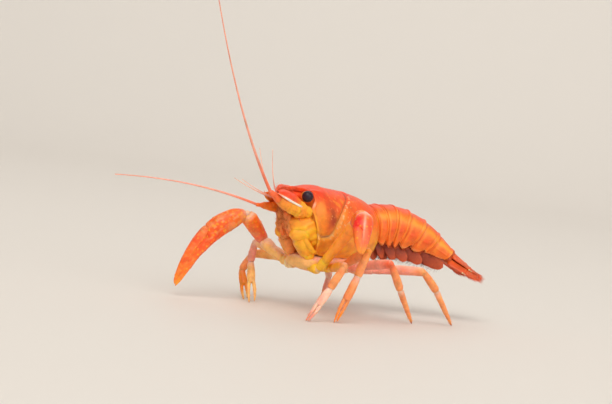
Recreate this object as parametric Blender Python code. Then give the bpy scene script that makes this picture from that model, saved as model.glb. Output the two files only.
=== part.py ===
"""An orange dwarf crayfish, life size, standing still with its right claw reaching forward and down.

All sizes are in millimetres, in the animal's own frame: forward, left, up, with the floor at 0.
The scene has the head towards -X, the animal's left side towards -Y, and +Z up.
"""

import math

import bmesh
import bpy
from mathutils import Vector

MM = 0.001
GAP = 0.16  # clear space left between two neighbouring pieces
SIDES = 12  # points round a limb
COLLECTION = "dwarf_crayfish"

LEFT = Vector((0, 1, 0))
UP = Vector((0, 0, 1))
FLOOR = -UP  # normal of the floor, seen from a limb that comes down on it
SIDES_OF_BODY = (("left", 1), ("right", -1))

# Driving dimensions of the body.
SHELL_REAR = -6.7  # rear edge of the carapace
BROW = 4.45  # front edge of the carapace beside the eyes
ROSTRUM_TIP = 8.2
FACE_TOP = 12.85  # height of the underside of the rostrum
EYE_RADIUS = 0.74
EYE_CENTRE = Vector((5.2, 2.2, 13.8))

# Colours of the materials: linear RGB and roughness.
PAINTS = {
    "carapace_shell": ((0.92, 0.17, 0.03), 0.3),
    "abdomen_shell": ((0.90, 0.20, 0.04), 0.35),
    "tail_shell": ((0.88, 0.14, 0.04), 0.4),
    "claw_shell": ((0.90, 0.13, 0.03), 0.3),
    "orange_leg_shell": ((0.92, 0.33, 0.09), 0.35),
    "pale_leg_shell": ((0.93, 0.48, 0.34), 0.35),
    "mouthpart": ((0.95, 0.48, 0.03), 0.4),
    "underside": ((0.72, 0.26, 0.07), 0.5),
    "feeler": ((0.90, 0.26, 0.12), 0.4),
    "scale_shell": ((0.95, 0.40, 0.25), 0.35),
    "eye": ((0.012, 0.006, 0.016), 0.08),
}


def start_scene():
    for thing in list(bpy.data.objects):
        bpy.data.objects.remove(thing, do_unlink=True)
    parts = bpy.data.collections.new(COLLECTION)
    cutters = bpy.data.collections.new("cutters")
    for collection in (parts, cutters):
        bpy.context.scene.collection.children.link(collection)
    cutters.hide_render = True
    pose = bpy.data.objects.new("crayfish_pose", None)
    parts.objects.link(pose)
    return parts, cutters, pose


PARTS, CUTTERS, POSE = start_scene()


def paint(slot):
    """The Principled material of this name, made once."""
    found = bpy.data.materials.get(slot)
    if found:
        return found
    colour, roughness = PAINTS[slot]
    material = bpy.data.materials.new(slot)
    material.use_nodes = True
    shader = material.node_tree.nodes["Principled BSDF"]
    shader.inputs["Base Color"].default_value = (*colour, 1)
    shader.inputs["Roughness"].default_value = roughness
    return material


def to_scene(point):
    """Animal frame in millimetres to scene metres."""
    return Vector((-point.x, -point.y, point.z)) * MM


def solid(name, rings, slot=None):
    """A closed loft through rings of equally many points, capped at both ends."""
    origin = to_scene(sum(rings[0], Vector()) / len(rings[0]))
    mesh = bpy.data.meshes.new(name)
    build = bmesh.new()
    loops = [[build.verts.new(to_scene(point) - origin) for point in ring] for ring in rings]
    count = len(rings[0])
    for near, far in zip(loops, loops[1:]):
        for k in range(count):
            after = (k + 1) % count
            build.faces.new((near[k], near[after], far[after], far[k]))
    build.faces.new(loops[0])
    build.faces.new(loops[-1])
    bmesh.ops.recalc_face_normals(build, faces=build.faces)
    build.to_mesh(mesh)
    build.free()
    mesh.shade_smooth()
    mesh.set_sharp_from_angle(angle=math.radians(50))
    thing = bpy.data.objects.new(name, mesh)
    thing.location = origin
    thing.parent = POSE
    if slot:
        mesh.materials.append(paint(slot))
        PARTS.objects.link(thing)
    else:
        thing.hide_render = True
        thing.display_type = "WIRE"
        CUTTERS.objects.link(thing)
    return thing


def combine(target, others, operation):
    """Adds or subtracts helper solids with exact Booleans."""
    for number, other in enumerate(others):
        boolean = target.modifiers.new(f"{operation.lower()}_{number}", "BOOLEAN")
        boolean.operation = operation
        boolean.object = other


def arch(f, top, bottom, half_width, belly=0.5, crown=2.2, keel=2.2, sides=28):
    """A cross-section of the trunk at f. The widest level is the share belly of the height up."""
    middle = bottom + (top - bottom) * belly
    ring = []
    for k in range(sides):
        turn = 2 * math.pi * k / sides
        across, up = math.sin(turn), math.cos(turn)
        power = 2 / (crown if up > 0 else keel)
        reach = (top - middle) if up > 0 else (middle - bottom)
        left = half_width * math.copysign(abs(across) ** power, across)
        ring.append(Vector((f, left, middle + reach * math.copysign(abs(up) ** power, up))))
    return ring


def frame_along(direction, broadside):
    """Two unit vectors square to direction: side, and over, which is nearest to broadside."""
    axis = direction.normalized()
    side = broadside.cross(axis).normalized()
    return side, axis.cross(side)


def beam(start, end, profile, first=None, last=None, broadside=UP, sides=SIDES):
    """Rings of a straight limb piece. profile lists (share of the length, half width, half depth).

    Its ends are cut by planes through start and end whose normals are first and last. GAP / 2
    is kept off each plane, except off the floor.
    """
    axis = (end - start).normalized()
    length = (end - start).length
    first = axis if first is None else first
    last = axis if last is None else last
    side, over = frame_along(axis, broadside)
    trim = 0 if last == FLOOR else GAP / 2 / abs(axis.dot(last))
    rings = []
    for share, width, depth in profile:
        ring = []
        for k in range(sides):
            turn = 2 * math.pi * k / sides
            offset = side * width * math.cos(turn) + over * depth * math.sin(turn)
            begin = GAP / 2 / abs(axis.dot(first)) - offset.dot(first) / axis.dot(first)
            finish = length - trim - offset.dot(last) / axis.dot(last)
            ring.append(start + offset + axis * (begin + (finish - begin) * share))
        rings.append(ring)
    return rings


def mitre(before, joint, after):
    """Normal of the plane that halves the bend at a joint."""
    return ((joint - before).normalized() + (after - joint).normalized()).normalized()


def tube(points, radii, sides=8, broadside=UP):
    """Rings along a bent path, square to it."""
    rings = []
    for number, (point, radius) in enumerate(zip(points, radii)):
        before = points[max(number - 1, 0)]
        after = points[min(number + 1, len(points) - 1)]
        side, over = frame_along(after - before, broadside)
        turns = [2 * math.pi * k / sides for k in range(sides)]
        spokes = [side * math.cos(turn) + over * math.sin(turn) for turn in turns]
        rings.append([point + spoke * radius for spoke in spokes])
    return rings


def bezier(points, share):
    """A point on the quadratic curve with these three control points."""
    a, b, c = points
    return a * (1 - share) ** 2 + b * 2 * share * (1 - share) + c * share**2


def mirrored(point, side):
    """The point on the animal's left for side 1, and its mirror image for side -1."""
    return Vector((point.x, point.y * side, point.z))


def prism(name, outline, half_width):
    """A helper prism across the animal: outline is (forward, up) pairs."""
    ends = (-half_width, half_width)
    return solid(name, [[Vector((f, left, up)) for f, up in outline] for left in ends])


# --- Carapace, face and thorax -------------------------------------------------------------


CHEEK_LOW = (1.5, 4)  # forward and up of the lower end of the cheek's slanting edge
CHEEK_HIGH = (BROW - 0.15, 11.6)  # and of its upper end
BEYOND_HEAD = 10  # further forward than any part of the head
WEDGE_HALF_WIDTH = 6


def face_wedge(name, allowance):
    """The room of the face: ahead of the cheek line and under the rostrum."""
    (low_rear, low), (high_rear, high) = CHEEK_LOW, CHEEK_HIGH
    top = FACE_TOP + allowance
    outline = (
        (low_rear - allowance, low),
        (high_rear - allowance, high),
        (high_rear - allowance, top),
        (BEYOND_HEAD, top),
        (BEYOND_HEAD, low),
    )
    return prism(name, outline, WEDGE_HALF_WIDTH)


def build_carapace():
    """The shell over head and thorax, drawn out in front into the rostrum."""
    stations = (
        # forward, top, bottom, half width, belly
        (SHELL_REAR, 12.9, 7.0, 2.75, 0.48),
        (SHELL_REAR + 0.5, 13.3, 6.5, 3.1, 0.47),
        (-5.0, 13.85, 6.3, 3.4, 0.46),
        (-3.2, 14.3, 6.25, 3.6, 0.46),
        (-1.2, 14.6, 6.25, 3.65, 0.46),
        (0.5, 14.75, 6.3, 3.55, 0.47),
        (1.4, 14.85, 6.3, 3.42, 0.48),
        (2.4, 15.0, 6.5, 3.3, 0.48),
        (3.5, 14.95, 7.0, 3.05, 0.48),
        (BROW - 0.35, 14.85, 7.8, 2.85, 0.5),
        (BROW - 0.1, 14.8, 8.2, 2.7, 0.5),
        (BROW, 14.8, FACE_TOP, 1.5, 0.75),
        (5.2, 14.8, 13.3, 1.22, 0.6),
        (6.4, 14.75, 13.6, 1.05, 0.6),
        (7.3, 14.6, 13.75, 0.72, 0.6),
        (ROSTRUM_TIP, 14.3, 13.8, 0.27, 0.5),
    )
    shell = solid("carapace", [arch(*station) for station in stations], "carapace_shell")
    combine(shell, [face_wedge("face_room", GAP / 2)], "DIFFERENCE")


def build_face():
    """The mouth region between the cheeks: epistome, mandibles and the bases of the mouthparts."""
    stations = (
        (0.9, 10.9, 7.4, 2.1),
        (2.6, 11.0, 7.6, 2.45),
        (4.2, 11.0, 8.8, 2.6),
        (5.2, 10.9, 9.2, 2.25),
        (5.8, 10.75, 9.7, 1.7),
    )
    rings = [arch(*station, belly=0.5, crown=3.0, keel=2.6, sides=20) for station in stations]
    face = solid("mouth", rings, "mouthpart")
    combine(face, [face_wedge("face_limit", -GAP / 2)], "INTERSECT")


HIPS = {  # where each pair of legs leaves the body, on the left side
    1: Vector((2.55, 2.75, 5.5)),
    2: Vector((1.0, 3.0, 5.7)),
    3: Vector((-0.55, 3.05, 5.75)),
    4: Vector((-2.05, 3.05, 5.7)),
    5: Vector((-3.6, 2.95, 5.6)),
}
HIP_RADII = {1: 0.72, 2: 0.6, 3: 0.6, 4: 0.58, 5: 0.58}
COXA_ROOT = (1.3, 5.5)  # left and up of the hidden end of each coxa


def hip_joint(pair, label, side):
    """The coxa's root, the hip, and the normal of the plane where the leg starts."""
    knee = Vector(CLAWS[label][0] if pair == 1 else LEGS[pair, label][0])
    root = mirrored(Vector((HIPS[pair].x, *COXA_ROOT)), side)
    hip = mirrored(HIPS[pair], side)
    return root, hip, mitre(root, hip, knee)


def build_thorax_floor():
    """The sternum, with a short coxa standing out for each leg."""
    stations = (
        (-6.0, 6.3, 5.7, 1.4),
        (-5.2, 6.05, 5.2, 2.0),
        (-2.0, 6.0, 4.95, 2.3),
        (1.5, 6.0, 4.95, 2.2),
        (3.3, 6.2, 5.3, 1.6),
    )
    rings = [arch(*station, belly=0.5, sides=12) for station in stations]
    floor = solid("thorax_floor", rings, "underside")
    coxae = []
    for pair, radius in HIP_RADII.items():
        for label, side in SIDES_OF_BODY:
            root, hip, plane = hip_joint(pair, label, side)
            profile = ((0, radius * 0.7, radius * 0.55), (1, radius * 0.9, radius * 0.75))
            rings = beam(root, hip, profile, None, plane, sides=8)
            coxae.append(solid(f"coxa_{pair}_{label}", rings))
    combine(floor, coxae, "UNION")


# --- Head: eyes, feelers and mouthparts ----------------------------------------------------


def build_eyes(side, label):
    """A black ball on a short stalk that comes out under the rostrum."""
    centre = mirrored(EYE_CENTRE, side)
    ball = bmesh.new()
    bmesh.ops.create_uvsphere(ball, u_segments=16, v_segments=10, radius=EYE_RADIUS * MM)
    mesh = bpy.data.meshes.new(f"eye_{label}")
    ball.to_mesh(mesh)
    ball.free()
    mesh.shade_smooth()
    mesh.materials.append(paint("eye"))
    eye = bpy.data.objects.new(f"eye_{label}", mesh)
    eye.location = to_scene(centre)
    eye.parent = POSE
    PARTS.objects.link(eye)
    root = mirrored(Vector((4.95, 0.5, 12.6)), side)
    reach = centre - root
    end = root + reach.normalized() * (reach.length - EYE_RADIUS)
    profile = ((0, 0.3, 0.22), (0.5, 0.42, 0.3), (0.9, 0.5, 0.42), (1, 0.42, 0.36))
    solid(f"eyestalk_{label}", beam(root, end, profile, sides=10), "carapace_shell")


PEDUNCLES = {  # stiff base of each antenna: root, middle, and the point where the whip starts
    1: (Vector((4.75, 2.05, 11.95)), Vector((7.2, 1.75, 12.45)), Vector((9.7, 1.15, 13.4))),
    -1: (Vector((4.75, -2.05, 11.95)), Vector((6.9, -2.2, 12.0)), Vector((8.5, -2.45, 12.05))),
}
WHIPS = {  # middle and tip of each antenna's whip
    1: (Vector((16.2, 1.3, 21.4)), Vector((23.4, 3.9, 34.6))),
    -1: (Vector((14.6, -6.6, 14.2)), Vector((20.0, -14.6, 13.5))),
}
WHIP_RADII = (0.42, 0.26)  # at its root and its tip


def build_antenna(side, label):
    root, middle, knob = PEDUNCLES[side]
    points = [root, root.lerp(middle, 0.5), middle]
    points += [middle.lerp(knob, 0.45), middle.lerp(knob, 0.5), knob]
    radii = (0.72, 0.86, 0.72, 0.62, 0.55, 0.46)
    solid(f"antenna_base_{label}", tube(points, radii, sides=10), "mouthpart")
    bend, tip = WHIPS[side]
    start = knob + (bend - knob).normalized() * GAP * 2
    steps = 14
    path = [bezier((start, bend, tip), step / steps) for step in range(steps + 1)]
    thick, thin = WHIP_RADII
    taper = [thick + (thin - thick) * (step / steps) ** 0.5 for step in range(steps + 1)]
    solid(f"antenna_whip_{label}", tube(path, taper), "feeler")


def build_antennule(side, label):
    """The small inner feeler: a jointed base with one branch rising and one reaching forward."""
    base = [Vector((5.4, 0.5, 12.45)), Vector((6.4, 0.5, 12.75)), Vector((7.5, 0.45, 13.1))]
    stem = solid(
        f"antennule_{label}",
        tube([mirrored(p, side) for p in base], (0.38, 0.45, 0.36), sides=8),
        "feeler",
    )
    branches = {
        "rising": ((7.35, 0.42, 13.0), (9.4, 0.4, 13.3), (10.4, 1.1, 18.6)),
        "forward": ((7.3, 0.42, 13.0), (10.2, 0.3, 13.3), (14.0, 0.7, 15.0)),
    }
    twigs = []
    for branch, controls in branches.items():
        controls = [mirrored(Vector(p), side) for p in controls]
        path = [bezier(controls, step / 6) for step in range(7)]
        twigs.append(solid(f"{branch}_{label}", tube(path, [0.27] * 7, sides=6)))
    combine(stem, twigs, "UNION")


def plate(name, root, direction, across, length, widths, thickness, slot):
    """A thin blade. widths lists (share of the length, half width, shift sideways)."""
    axis = direction.normalized()
    side = (across - axis * across.dot(axis)).normalized()
    over = axis.cross(side)
    rings = []
    for share, half, shift in widths:
        centre = root + axis * length * share + side * shift
        ring = []
        for k in range(SIDES):
            turn = 2 * math.pi * k / SIDES
            wide = math.copysign(abs(math.cos(turn)) ** 0.8, math.cos(turn))
            high = math.copysign(abs(math.sin(turn)) ** 0.6, math.sin(turn))
            ring.append(centre + side * half * wide + over * thickness / 2 * high)
        rings.append(ring)
    return solid(name, rings, slot)


SCALE_THICKNESS = 0.5
SCALE_WIDTHS = (  # share of the length, half width, shift towards the midline
    (0, 0.3, 0),
    (0.2, 0.5, 0.1),
    (0.5, 0.62, 0.2),
    (0.75, 0.55, 0.12),
    (0.92, 0.34, 0),
    (1, 0.16, -0.1),
)


def build_antennal_scale(side, label):
    """The blade beside the antenna's base, with a stiff outer edge and a pointed tip."""
    root = mirrored(Vector((5.9, 2.35, 13.2)), side)
    tip = mirrored(Vector((9.2, 1.95, 14.25)), side)
    inward = mirrored(Vector((0, -0.75, 0.6)), side)
    reach = tip - root
    name = f"antennal_scale_{label}"
    plate(name, root, reach, inward, reach.length, SCALE_WIDTHS, SCALE_THICKNESS, "scale_shell")


MAXILLIPED = (  # forward, left, up and radius along the third maxilliped of the left side
    (3.0, 1.2, 6.85, 0.5),
    (3.6, 1.1, 7.1, 0.7),
    (5.0, 0.86, 7.65, 0.76),
    (5.95, 0.8, 8.15, 0.7),
    (6.95, 0.76, 9.5, 0.66),
    (7.15, 0.72, 10.2, 0.5),
    (6.8, 0.6, 11.2, 0.3),
)


def build_maxilliped(side, label):
    """The third maxilliped: a stout leg-like mouthpart folded up in front of the mouth."""
    points = [mirrored(Vector(station[:3]), side) for station in MAXILLIPED]
    radii = [station[3] for station in MAXILLIPED]
    solid(f"maxilliped_{label}", tube(points, radii, sides=10, broadside=LEFT), "mouthpart")


# --- Claws ---------------------------------------------------------------------------------

# The first pair of legs: knee, wrist, bulge of the hand and its tip, and half width of the palm.
CLAWS = {
    "right": ((3.4, -6.1, 7.4), (6.0, -6.8, 10.5), (10.0, -9.7, 9.1), (12.5, -10.8, 1.2), 1.2),
    "left": ((1.75, 6.75, 11.2), (2.15, 8.6, 12.5), (3.75, 9.8, 11.3), (4.1, 10.6, 8.3), 1.1),
}
HINGE = 0.46  # share of the hand's length at which the movable finger starts
VIEW_ACROSS = Vector((0.69, 0.72, 0.0))  # level direction that the hands' broad sides face
FIXED_SHARES = (0.5, 0.62, 0.75, 0.88, 0.96, 0.995)
MOVING_SHARES = (0.495, 0.52, 0.62, 0.75, 0.88, 0.96, 0.99)


def finger_rings(curve, opening, palm, shares, shift_sign):
    """Rings of one finger lying beside its twin along the hand's curve."""
    rings = []
    for share in shares:
        run = (share - HINGE) / (1 - HINGE)
        half = palm * (0.47 - 0.24 * run)
        tangent = bezier(curve, min(share + 0.02, 1)) - bezier(curve, share - 0.02)
        thick = tangent.cross(opening).normalized()
        across = thick.cross(tangent).normalized()
        centre = bezier(curve, share) + across * shift_sign * (half + GAP / 2)
        depth = palm * (0.56 - 0.32 * run)
        ring = []
        for k in range(SIDES):
            turn = 2 * math.pi * k / SIDES
            ring.append(centre + across * half * math.cos(turn) + thick * depth * math.sin(turn))
        rings.append(ring)
    return rings


# Share of the hand's length, then half width and half depth as shares of the palm's half width.
PALM = (
    (0, 0.5, 0.5),
    (0.07, 0.72, 0.62),
    (0.2, 0.95, 0.74),
    (0.34, 1.0, 0.72),
    (0.44, 0.98, 0.62),
)


def palm_rings(curve, opening, palm, wrist_plane):
    """Rings from the wrist to the hinge, swelling to the palm's full width."""
    rings = []
    for share, width, depth in PALM:
        tangent = (bezier(curve, share + 0.02) - bezier(curve, max(share - 0.02, 0))).normalized()
        thick = tangent.cross(opening).normalized()
        across = thick.cross(tangent).normalized()
        ring = []
        for k in range(SIDES):
            turn = 2 * math.pi * k / SIDES
            offset = (across * width * math.cos(turn) + thick * depth * math.sin(turn)) * palm
            if share == 0:  # the first ring lies in the wrist's plane
                lift = GAP - offset.dot(wrist_plane)
                offset += tangent * (lift / tangent.dot(wrist_plane))
            ring.append(bezier(curve, share) + offset)
        rings.append(ring)
    return rings


# Share of the length, half width, half depth.
ARM = ((0, 0.5, 0.5), (0.25, 0.58, 0.6), (0.7, 0.68, 0.75), (0.93, 0.76, 0.84), (1, 0.66, 0.74))
WRIST = ((0, 0.66, 0.66), (0.25, 0.82, 0.82), (0.7, 0.95, 0.95), (1, 0.66, 0.66))


def build_claw(label, side):
    knee, wrist, bulge, tip = (Vector(p) for p in CLAWS[label][:4])
    palm = CLAWS[label][4]
    _, hip, hip_plane = hip_joint(1, label, side)
    arm_plane = mitre(hip, knee, wrist)
    wrist_plane = mitre(knee, wrist, bulge)
    solid(f"claw_{label}_arm", beam(hip, knee, ARM, hip_plane, arm_plane), "claw_shell")
    solid(f"claw_{label}_wrist", beam(knee, wrist, WRIST, arm_plane, wrist_plane), "claw_shell")
    curve = (wrist, bulge, tip)
    opening = VIEW_ACROSS.cross(tip - wrist)
    rings = palm_rings(curve, opening, palm, wrist_plane)
    fixed = finger_rings(curve, opening, palm, FIXED_SHARES, 1)
    solid(f"claw_{label}_hand", rings + fixed, "claw_shell")
    moving = finger_rings(curve, opening, palm, MOVING_SHARES, -1)
    solid(f"claw_{label}_finger", moving, "claw_shell")


# --- Walking legs --------------------------------------------------------------------------

LEGS = {  # pair and side: knee, ankle and foot, then how far the pincer's fingers are apart
    (2, "left"): ((3.4, 7.7, 6.5), (4.5, 6.9, 3.9), (6.6, 5.95, 0), None),
    (3, "left"): ((0.6, 8.4, 8.4), (1.5, 8.05, 5.5), (3.3, 7.1, 0), None),
    (4, "left"): ((-2.4, 9.3, 7.2), (-4.9, 8.9, 4.2), (-8.7, 8.0, 0), None),
    (5, "left"): ((-8.1, 9.3, 6.4), (-10.6, 9.5, 4.2), (-14.1, 9.6, 0), None),
    (2, "right"): ((2.5, -8.7, 7.0), (2.8, -8.7, 4.6), (4.1, -6.2, 0), 0.5),
    (3, "right"): ((1.2, -10.2, 5.45), (2.4, -10.6, 3.3), (2.9, -8.7, 0), 0.3),
    (4, "right"): ((-8.2, -7.1, 5.9), (-9.8, -7.7, 3.1), (-9.8, -8.6, 0), None),
    (5, "right"): ((-10.3, -3.7, 6.1), (-12.9, -5.7, 3.7), (-12.8, -7.3, 0), None),
}
LEG_SLOTS = {
    2: "pale_leg_shell",
    3: "orange_leg_shell",
    4: "pale_leg_shell",
    5: "orange_leg_shell",
}
# Share of the length, half width, half depth.
UPPER_LEG = ((0, 0.46, 0.52), (0.3, 0.48, 0.58), (0.8, 0.5, 0.56), (1, 0.44, 0.5))
MIDDLE_LEG = ((0, 0.43, 0.46), (0.6, 0.46, 0.48), (1, 0.38, 0.4))
PLAIN_FOOT = ((0, 0.38, 0.38), (0.3, 0.4, 0.4), (0.62, 0.36, 0.36), (1, 0.26, 0.26))
PINCER_SPLIT = 0.45  # share of the last piece that the two fingers take
FINGER_HALF_WIDTH = 0.26
LEG_SIDES = 10


def pincer(ankle, foot, ankle_plane, opened, name, slot):
    """A foot that ends in two fingers, whose tips are opened mm apart."""
    broadside = (foot - ankle).cross(VIEW_ACROSS).normalized()
    spread = FINGER_HALF_WIDTH + opened / 2
    profile = (
        (0, 0.36, 0.4),
        (0.3, 0.38, 0.5),
        (0.55, 0.36, 0.54),
        (0.8, 0.3, spread + 0.26),
        (1, 0.26, spread + 0.24),
    )
    rings = beam(ankle, foot, profile, ankle_plane, FLOOR, broadside, sides=LEG_SIDES)
    hand = solid(name, rings, slot)
    crotch = ankle.lerp(foot, 1 - PINCER_SPLIT)
    beyond = ankle.lerp(foot, 1.1)
    wedge = ((0, 0.8, 0.05), (1, 0.8, opened / 2 + 0.02))
    gape = solid(f"gape_{name}", beam(crotch, beyond, wedge, broadside=broadside, sides=6))
    combine(hand, [gape], "DIFFERENCE")


def build_leg(pair, label, side):
    """Three pieces: the long piece out to the knee, the short one below it, and the foot."""
    knee, ankle, foot = (Vector(p) for p in LEGS[pair, label][:3])
    opened = LEGS[pair, label][3]
    _, hip, hip_plane = hip_joint(pair, label, side)
    knee_plane = mitre(hip, knee, ankle)
    ankle_plane = mitre(knee, ankle, foot)
    slot = LEG_SLOTS[pair]
    rings = beam(hip, knee, UPPER_LEG, hip_plane, knee_plane, sides=LEG_SIDES)
    solid(f"leg_{pair}_{label}_upper", rings, slot)
    rings = beam(knee, ankle, MIDDLE_LEG, knee_plane, ankle_plane, sides=LEG_SIDES)
    solid(f"leg_{pair}_{label}_middle", rings, slot)
    name = f"leg_{pair}_{label}_foot"
    if opened:
        pincer(ankle, foot, ankle_plane, opened, name, slot)
        return
    broadside = (foot - ankle).cross(VIEW_ACROSS).normalized()
    rings = beam(ankle, foot, PLAIN_FOOT, ankle_plane, FLOOR, broadside, sides=LEG_SIDES)
    solid(name, rings, slot)


# --- Abdomen and tail fan ------------------------------------------------------------------

# Where the abdomen's back leaves the carapace.
ABDOMEN_TOP = Vector((SHELL_REAR - 0.1, 0.05, 13.05))
# Each ring of the abdomen: length along the back, turn to the left and slope in degrees,
# height, half width.
SOMITES = (
    (1.5, 10, 7, 4.3, 2.6),
    (2.0, 20, 3, 4.8, 2.85),
    (2.1, 29, -10, 4.9, 2.85),
    (2.4, 31, -23, 4.7, 2.75),
    (2.5, 32, -34, 4.2, 2.5),
    (2.6, 34, -43, 3.4, 2.1),
)
PADDLE_LENGTH = 2.0
TELSON = (4.3, 31, -32)  # length, turn to the left, slope
LAST_HEIGHT, LAST_HALF_WIDTH = 2.2, 1.75  # rear end of the sixth ring
BLADE = 0.5  # thickness of the plates of the tail fan
# Name, turn away from the telson in degrees, root to the side, root below the back, length.
UROPODS = (
    ("inner", 13, 0.75, 0.88, 4.2),
    ("outer", 30, 1.0, 1.46, 4.4),
)


# A ring's cross-sections: share of its length, swelling outwards, extra height.
SOMITE_SHAPE = ((0, -0.12, -0.3), (0.15, 0, 0), (0.5, 0.05, 0.25), (0.85, 0.03, 0.1), (1, -0.08, -0.35))
BLADE_SHAPE = ((0, 0.8), (0.12, 0.95), (0.5, 0.98), (0.8, 0.9), (0.95, 0.62), (1, 0.3))
TAIL_GAP = 0.3  # clear space ahead of the tail fan


def heading(turn, slope):
    """Unit vector towards the tail, turned to the left and sloping up by these degrees."""
    turn, slope = math.radians(turn), math.radians(slope)
    level = math.cos(slope)
    return Vector((-math.cos(turn) * level, math.sin(turn) * level, math.sin(slope)))


def somite_section(top, normal, height, half_width, drop):
    """A cross-section hung from the back: a round arch whose lower corners are the pleura."""
    across = normal.cross(UP).normalized()
    if across.y > 0:
        across = -across
    over = across.cross(normal).normalized()
    if over.z < 0:
        over = -over
    ring = []
    for local in arch(0, 0, -height - drop, half_width, belly=0.5, crown=2.15, keel=2.7, sides=20):
        ring.append(top + across * local.y + over * local.z)
    return ring


def build_abdomen():
    """Six rings, with two paddles under each of the first five."""
    top = ABDOMEN_TOP
    directions = [heading(turn, slope) for _, turn, slope, _, _ in SOMITES] + [heading(*TELSON[1:])]
    sizes = [(height, half) for *_, height, half in SOMITES] + [(LAST_HEIGHT, LAST_HALF_WIDTH)]
    for number, (length, *_rest) in enumerate(SOMITES):
        direction = directions[number]
        end = top + direction * length
        before = directions[number - 1] if number else heading(4, 4)
        first = (before + direction).normalized()
        last = (direction + directions[number + 1]).normalized()
        (height, half), (next_height, next_half) = sizes[number], sizes[number + 1]
        rings = []
        for share, swell, drop in SOMITE_SHAPE:
            normal = first.lerp(last, share).normalized()
            trim = direction * (GAP / 2) * (1 - 2 * share)
            spot = top.lerp(end, share) + trim + UP * (swell - 0.05)
            tall = height + (next_height - height) * share
            wide = half + (next_half - half) * share
            rings.append(somite_section(spot, normal, tall, wide + swell, drop))
        ring_body = solid(f"abdomen_{number + 1}", rings, "abdomen_shell")
        if number < 5:
            hung = swimmerets(number, top.lerp(end, 0.5), direction, height, half)
            combine(ring_body, hung, "UNION")
        top = end
    return top


def swimmerets(number, top, direction, height, half):
    """A pair of soft paddles, hanging from the underside."""
    paddles = []
    across = direction.cross(UP).normalized()
    down = across.cross(direction).normalized()
    if down.z > 0:
        down = -down
    for side in (1, -1):
        root = top + down * (height - 0.4) + across * half * 0.42 * side
        tip = root + down * PADDLE_LENGTH
        profile = ((0, 0.4, 0.27), (0.6, 0.5, 0.27), (1, 0.3, 0.25))
        rings = beam(root, tip, profile, broadside=direction, sides=6)
        paddles.append(solid(f"swimmeret_{number + 1}_{side}", rings))
    return paddles


def build_tail_fan(root):
    """The telson in the middle, and two uropods a side, each a step lower than the last."""
    length, turn, slope = TELSON
    axis = heading(turn, slope)
    across = axis.cross(UP).normalized()
    if across.y < 0:
        across = -across
    down = across.cross(axis).normalized()
    if down.z > 0:
        down = -down
    lead = axis * TAIL_GAP
    widths = [(share, half * 1.25, 0) for share, half in BLADE_SHAPE]
    start = root + lead + down * 0.3
    plate("telson", start, axis, across, length, widths, BLADE, "tail_shell")
    for name, spread, aside, drop, reach in UROPODS:
        for label, side in SIDES_OF_BODY:
            angle = math.radians(spread)
            direction = axis * math.cos(angle) + across * side * math.sin(angle)
            start = root + lead + across * side * aside + down * drop
            widths = [(0, 0.4, 0)] + [(share, half * 0.95, 0) for share, half in BLADE_SHAPE[1:]]
            node = f"uropod_{name}_{label}"
            plate(node, start, direction, across, reach, widths, BLADE, "tail_shell")


def centre_on_floor():
    """Moves the pose so that the outline's middle is over the origin."""
    bpy.context.view_layer.update()
    graph = bpy.context.evaluated_depsgraph_get()
    corners = []
    for thing in PARTS.objects:
        if thing.type == "MESH":
            shape = thing.evaluated_get(graph)
            corners.extend(shape.matrix_world @ Vector(corner) for corner in shape.bound_box)
    for axis in (0, 1):
        values = [corner[axis] for corner in corners]
        POSE.location[axis] = -(min(values) + max(values)) / 2


def main():
    build_carapace()
    build_face()
    build_thorax_floor()
    for label, side in SIDES_OF_BODY:
        build_eyes(side, label)
        build_antenna(side, label)
        build_antennule(side, label)
        build_antennal_scale(side, label)
        build_maxilliped(side, label)
        build_claw(label, side)
        for pair in (2, 3, 4, 5):
            build_leg(pair, label, side)
    build_tail_fan(build_abdomen())
    centre_on_floor()


main()
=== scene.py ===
"""Looks of the orange dwarf crayfish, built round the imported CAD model.

Shapes are worked out in the animal's own frame, in millimetres: forward, left, up, with the
floor at 0. In the scene the head is towards -X and the animal's left side towards -Y. A grid of
points has a row for each ring of a piece. A share runs from 0 to 1 along a piece, and is a
column, with a number for each row.
"""

import math

import bpy
import numpy as np
from mathutils import Matrix, Vector


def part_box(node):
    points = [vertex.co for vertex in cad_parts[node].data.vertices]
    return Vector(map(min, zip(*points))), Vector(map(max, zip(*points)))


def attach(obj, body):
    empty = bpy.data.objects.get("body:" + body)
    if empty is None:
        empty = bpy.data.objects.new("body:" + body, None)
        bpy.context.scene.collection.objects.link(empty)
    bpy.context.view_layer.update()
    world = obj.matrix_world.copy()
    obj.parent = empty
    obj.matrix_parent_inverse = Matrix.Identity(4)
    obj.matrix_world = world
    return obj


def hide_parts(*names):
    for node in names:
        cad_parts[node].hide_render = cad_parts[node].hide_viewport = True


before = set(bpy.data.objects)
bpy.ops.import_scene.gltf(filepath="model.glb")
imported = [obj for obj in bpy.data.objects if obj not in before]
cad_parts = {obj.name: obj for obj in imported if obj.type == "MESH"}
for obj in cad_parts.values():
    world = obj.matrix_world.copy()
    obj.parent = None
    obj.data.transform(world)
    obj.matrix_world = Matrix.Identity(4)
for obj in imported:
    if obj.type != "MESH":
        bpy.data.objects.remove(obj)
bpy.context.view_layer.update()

MM = 0.001
UP = np.array((0.0, 0.0, 1.0))
LEFT = np.array((0.0, 1.0, 0.0))
SIDES = (("left", 1), ("right", -1))
EYE_CENTRE = np.array((5.2, 2.2, 13.8))
EYE_RADIUS = 0.66
EYE_LOW, EYE_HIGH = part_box("eye_left")
SHIFT = np.array((EYE_LOW + EYE_HIGH) / 2) - EYE_CENTRE * (-MM, -MM, MM)


def to_scene(points):
    """Animal frame in millimetres to scene metres."""
    return points * (-MM, -MM, MM) + SHIFT


# --- Colours ---


def srgb(red, green, blue):
    values = np.array((red, green, blue)) / 255
    return np.where(values <= 0.04045, values / 12.92, ((values + 0.055) / 1.055) ** 2.4)


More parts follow.
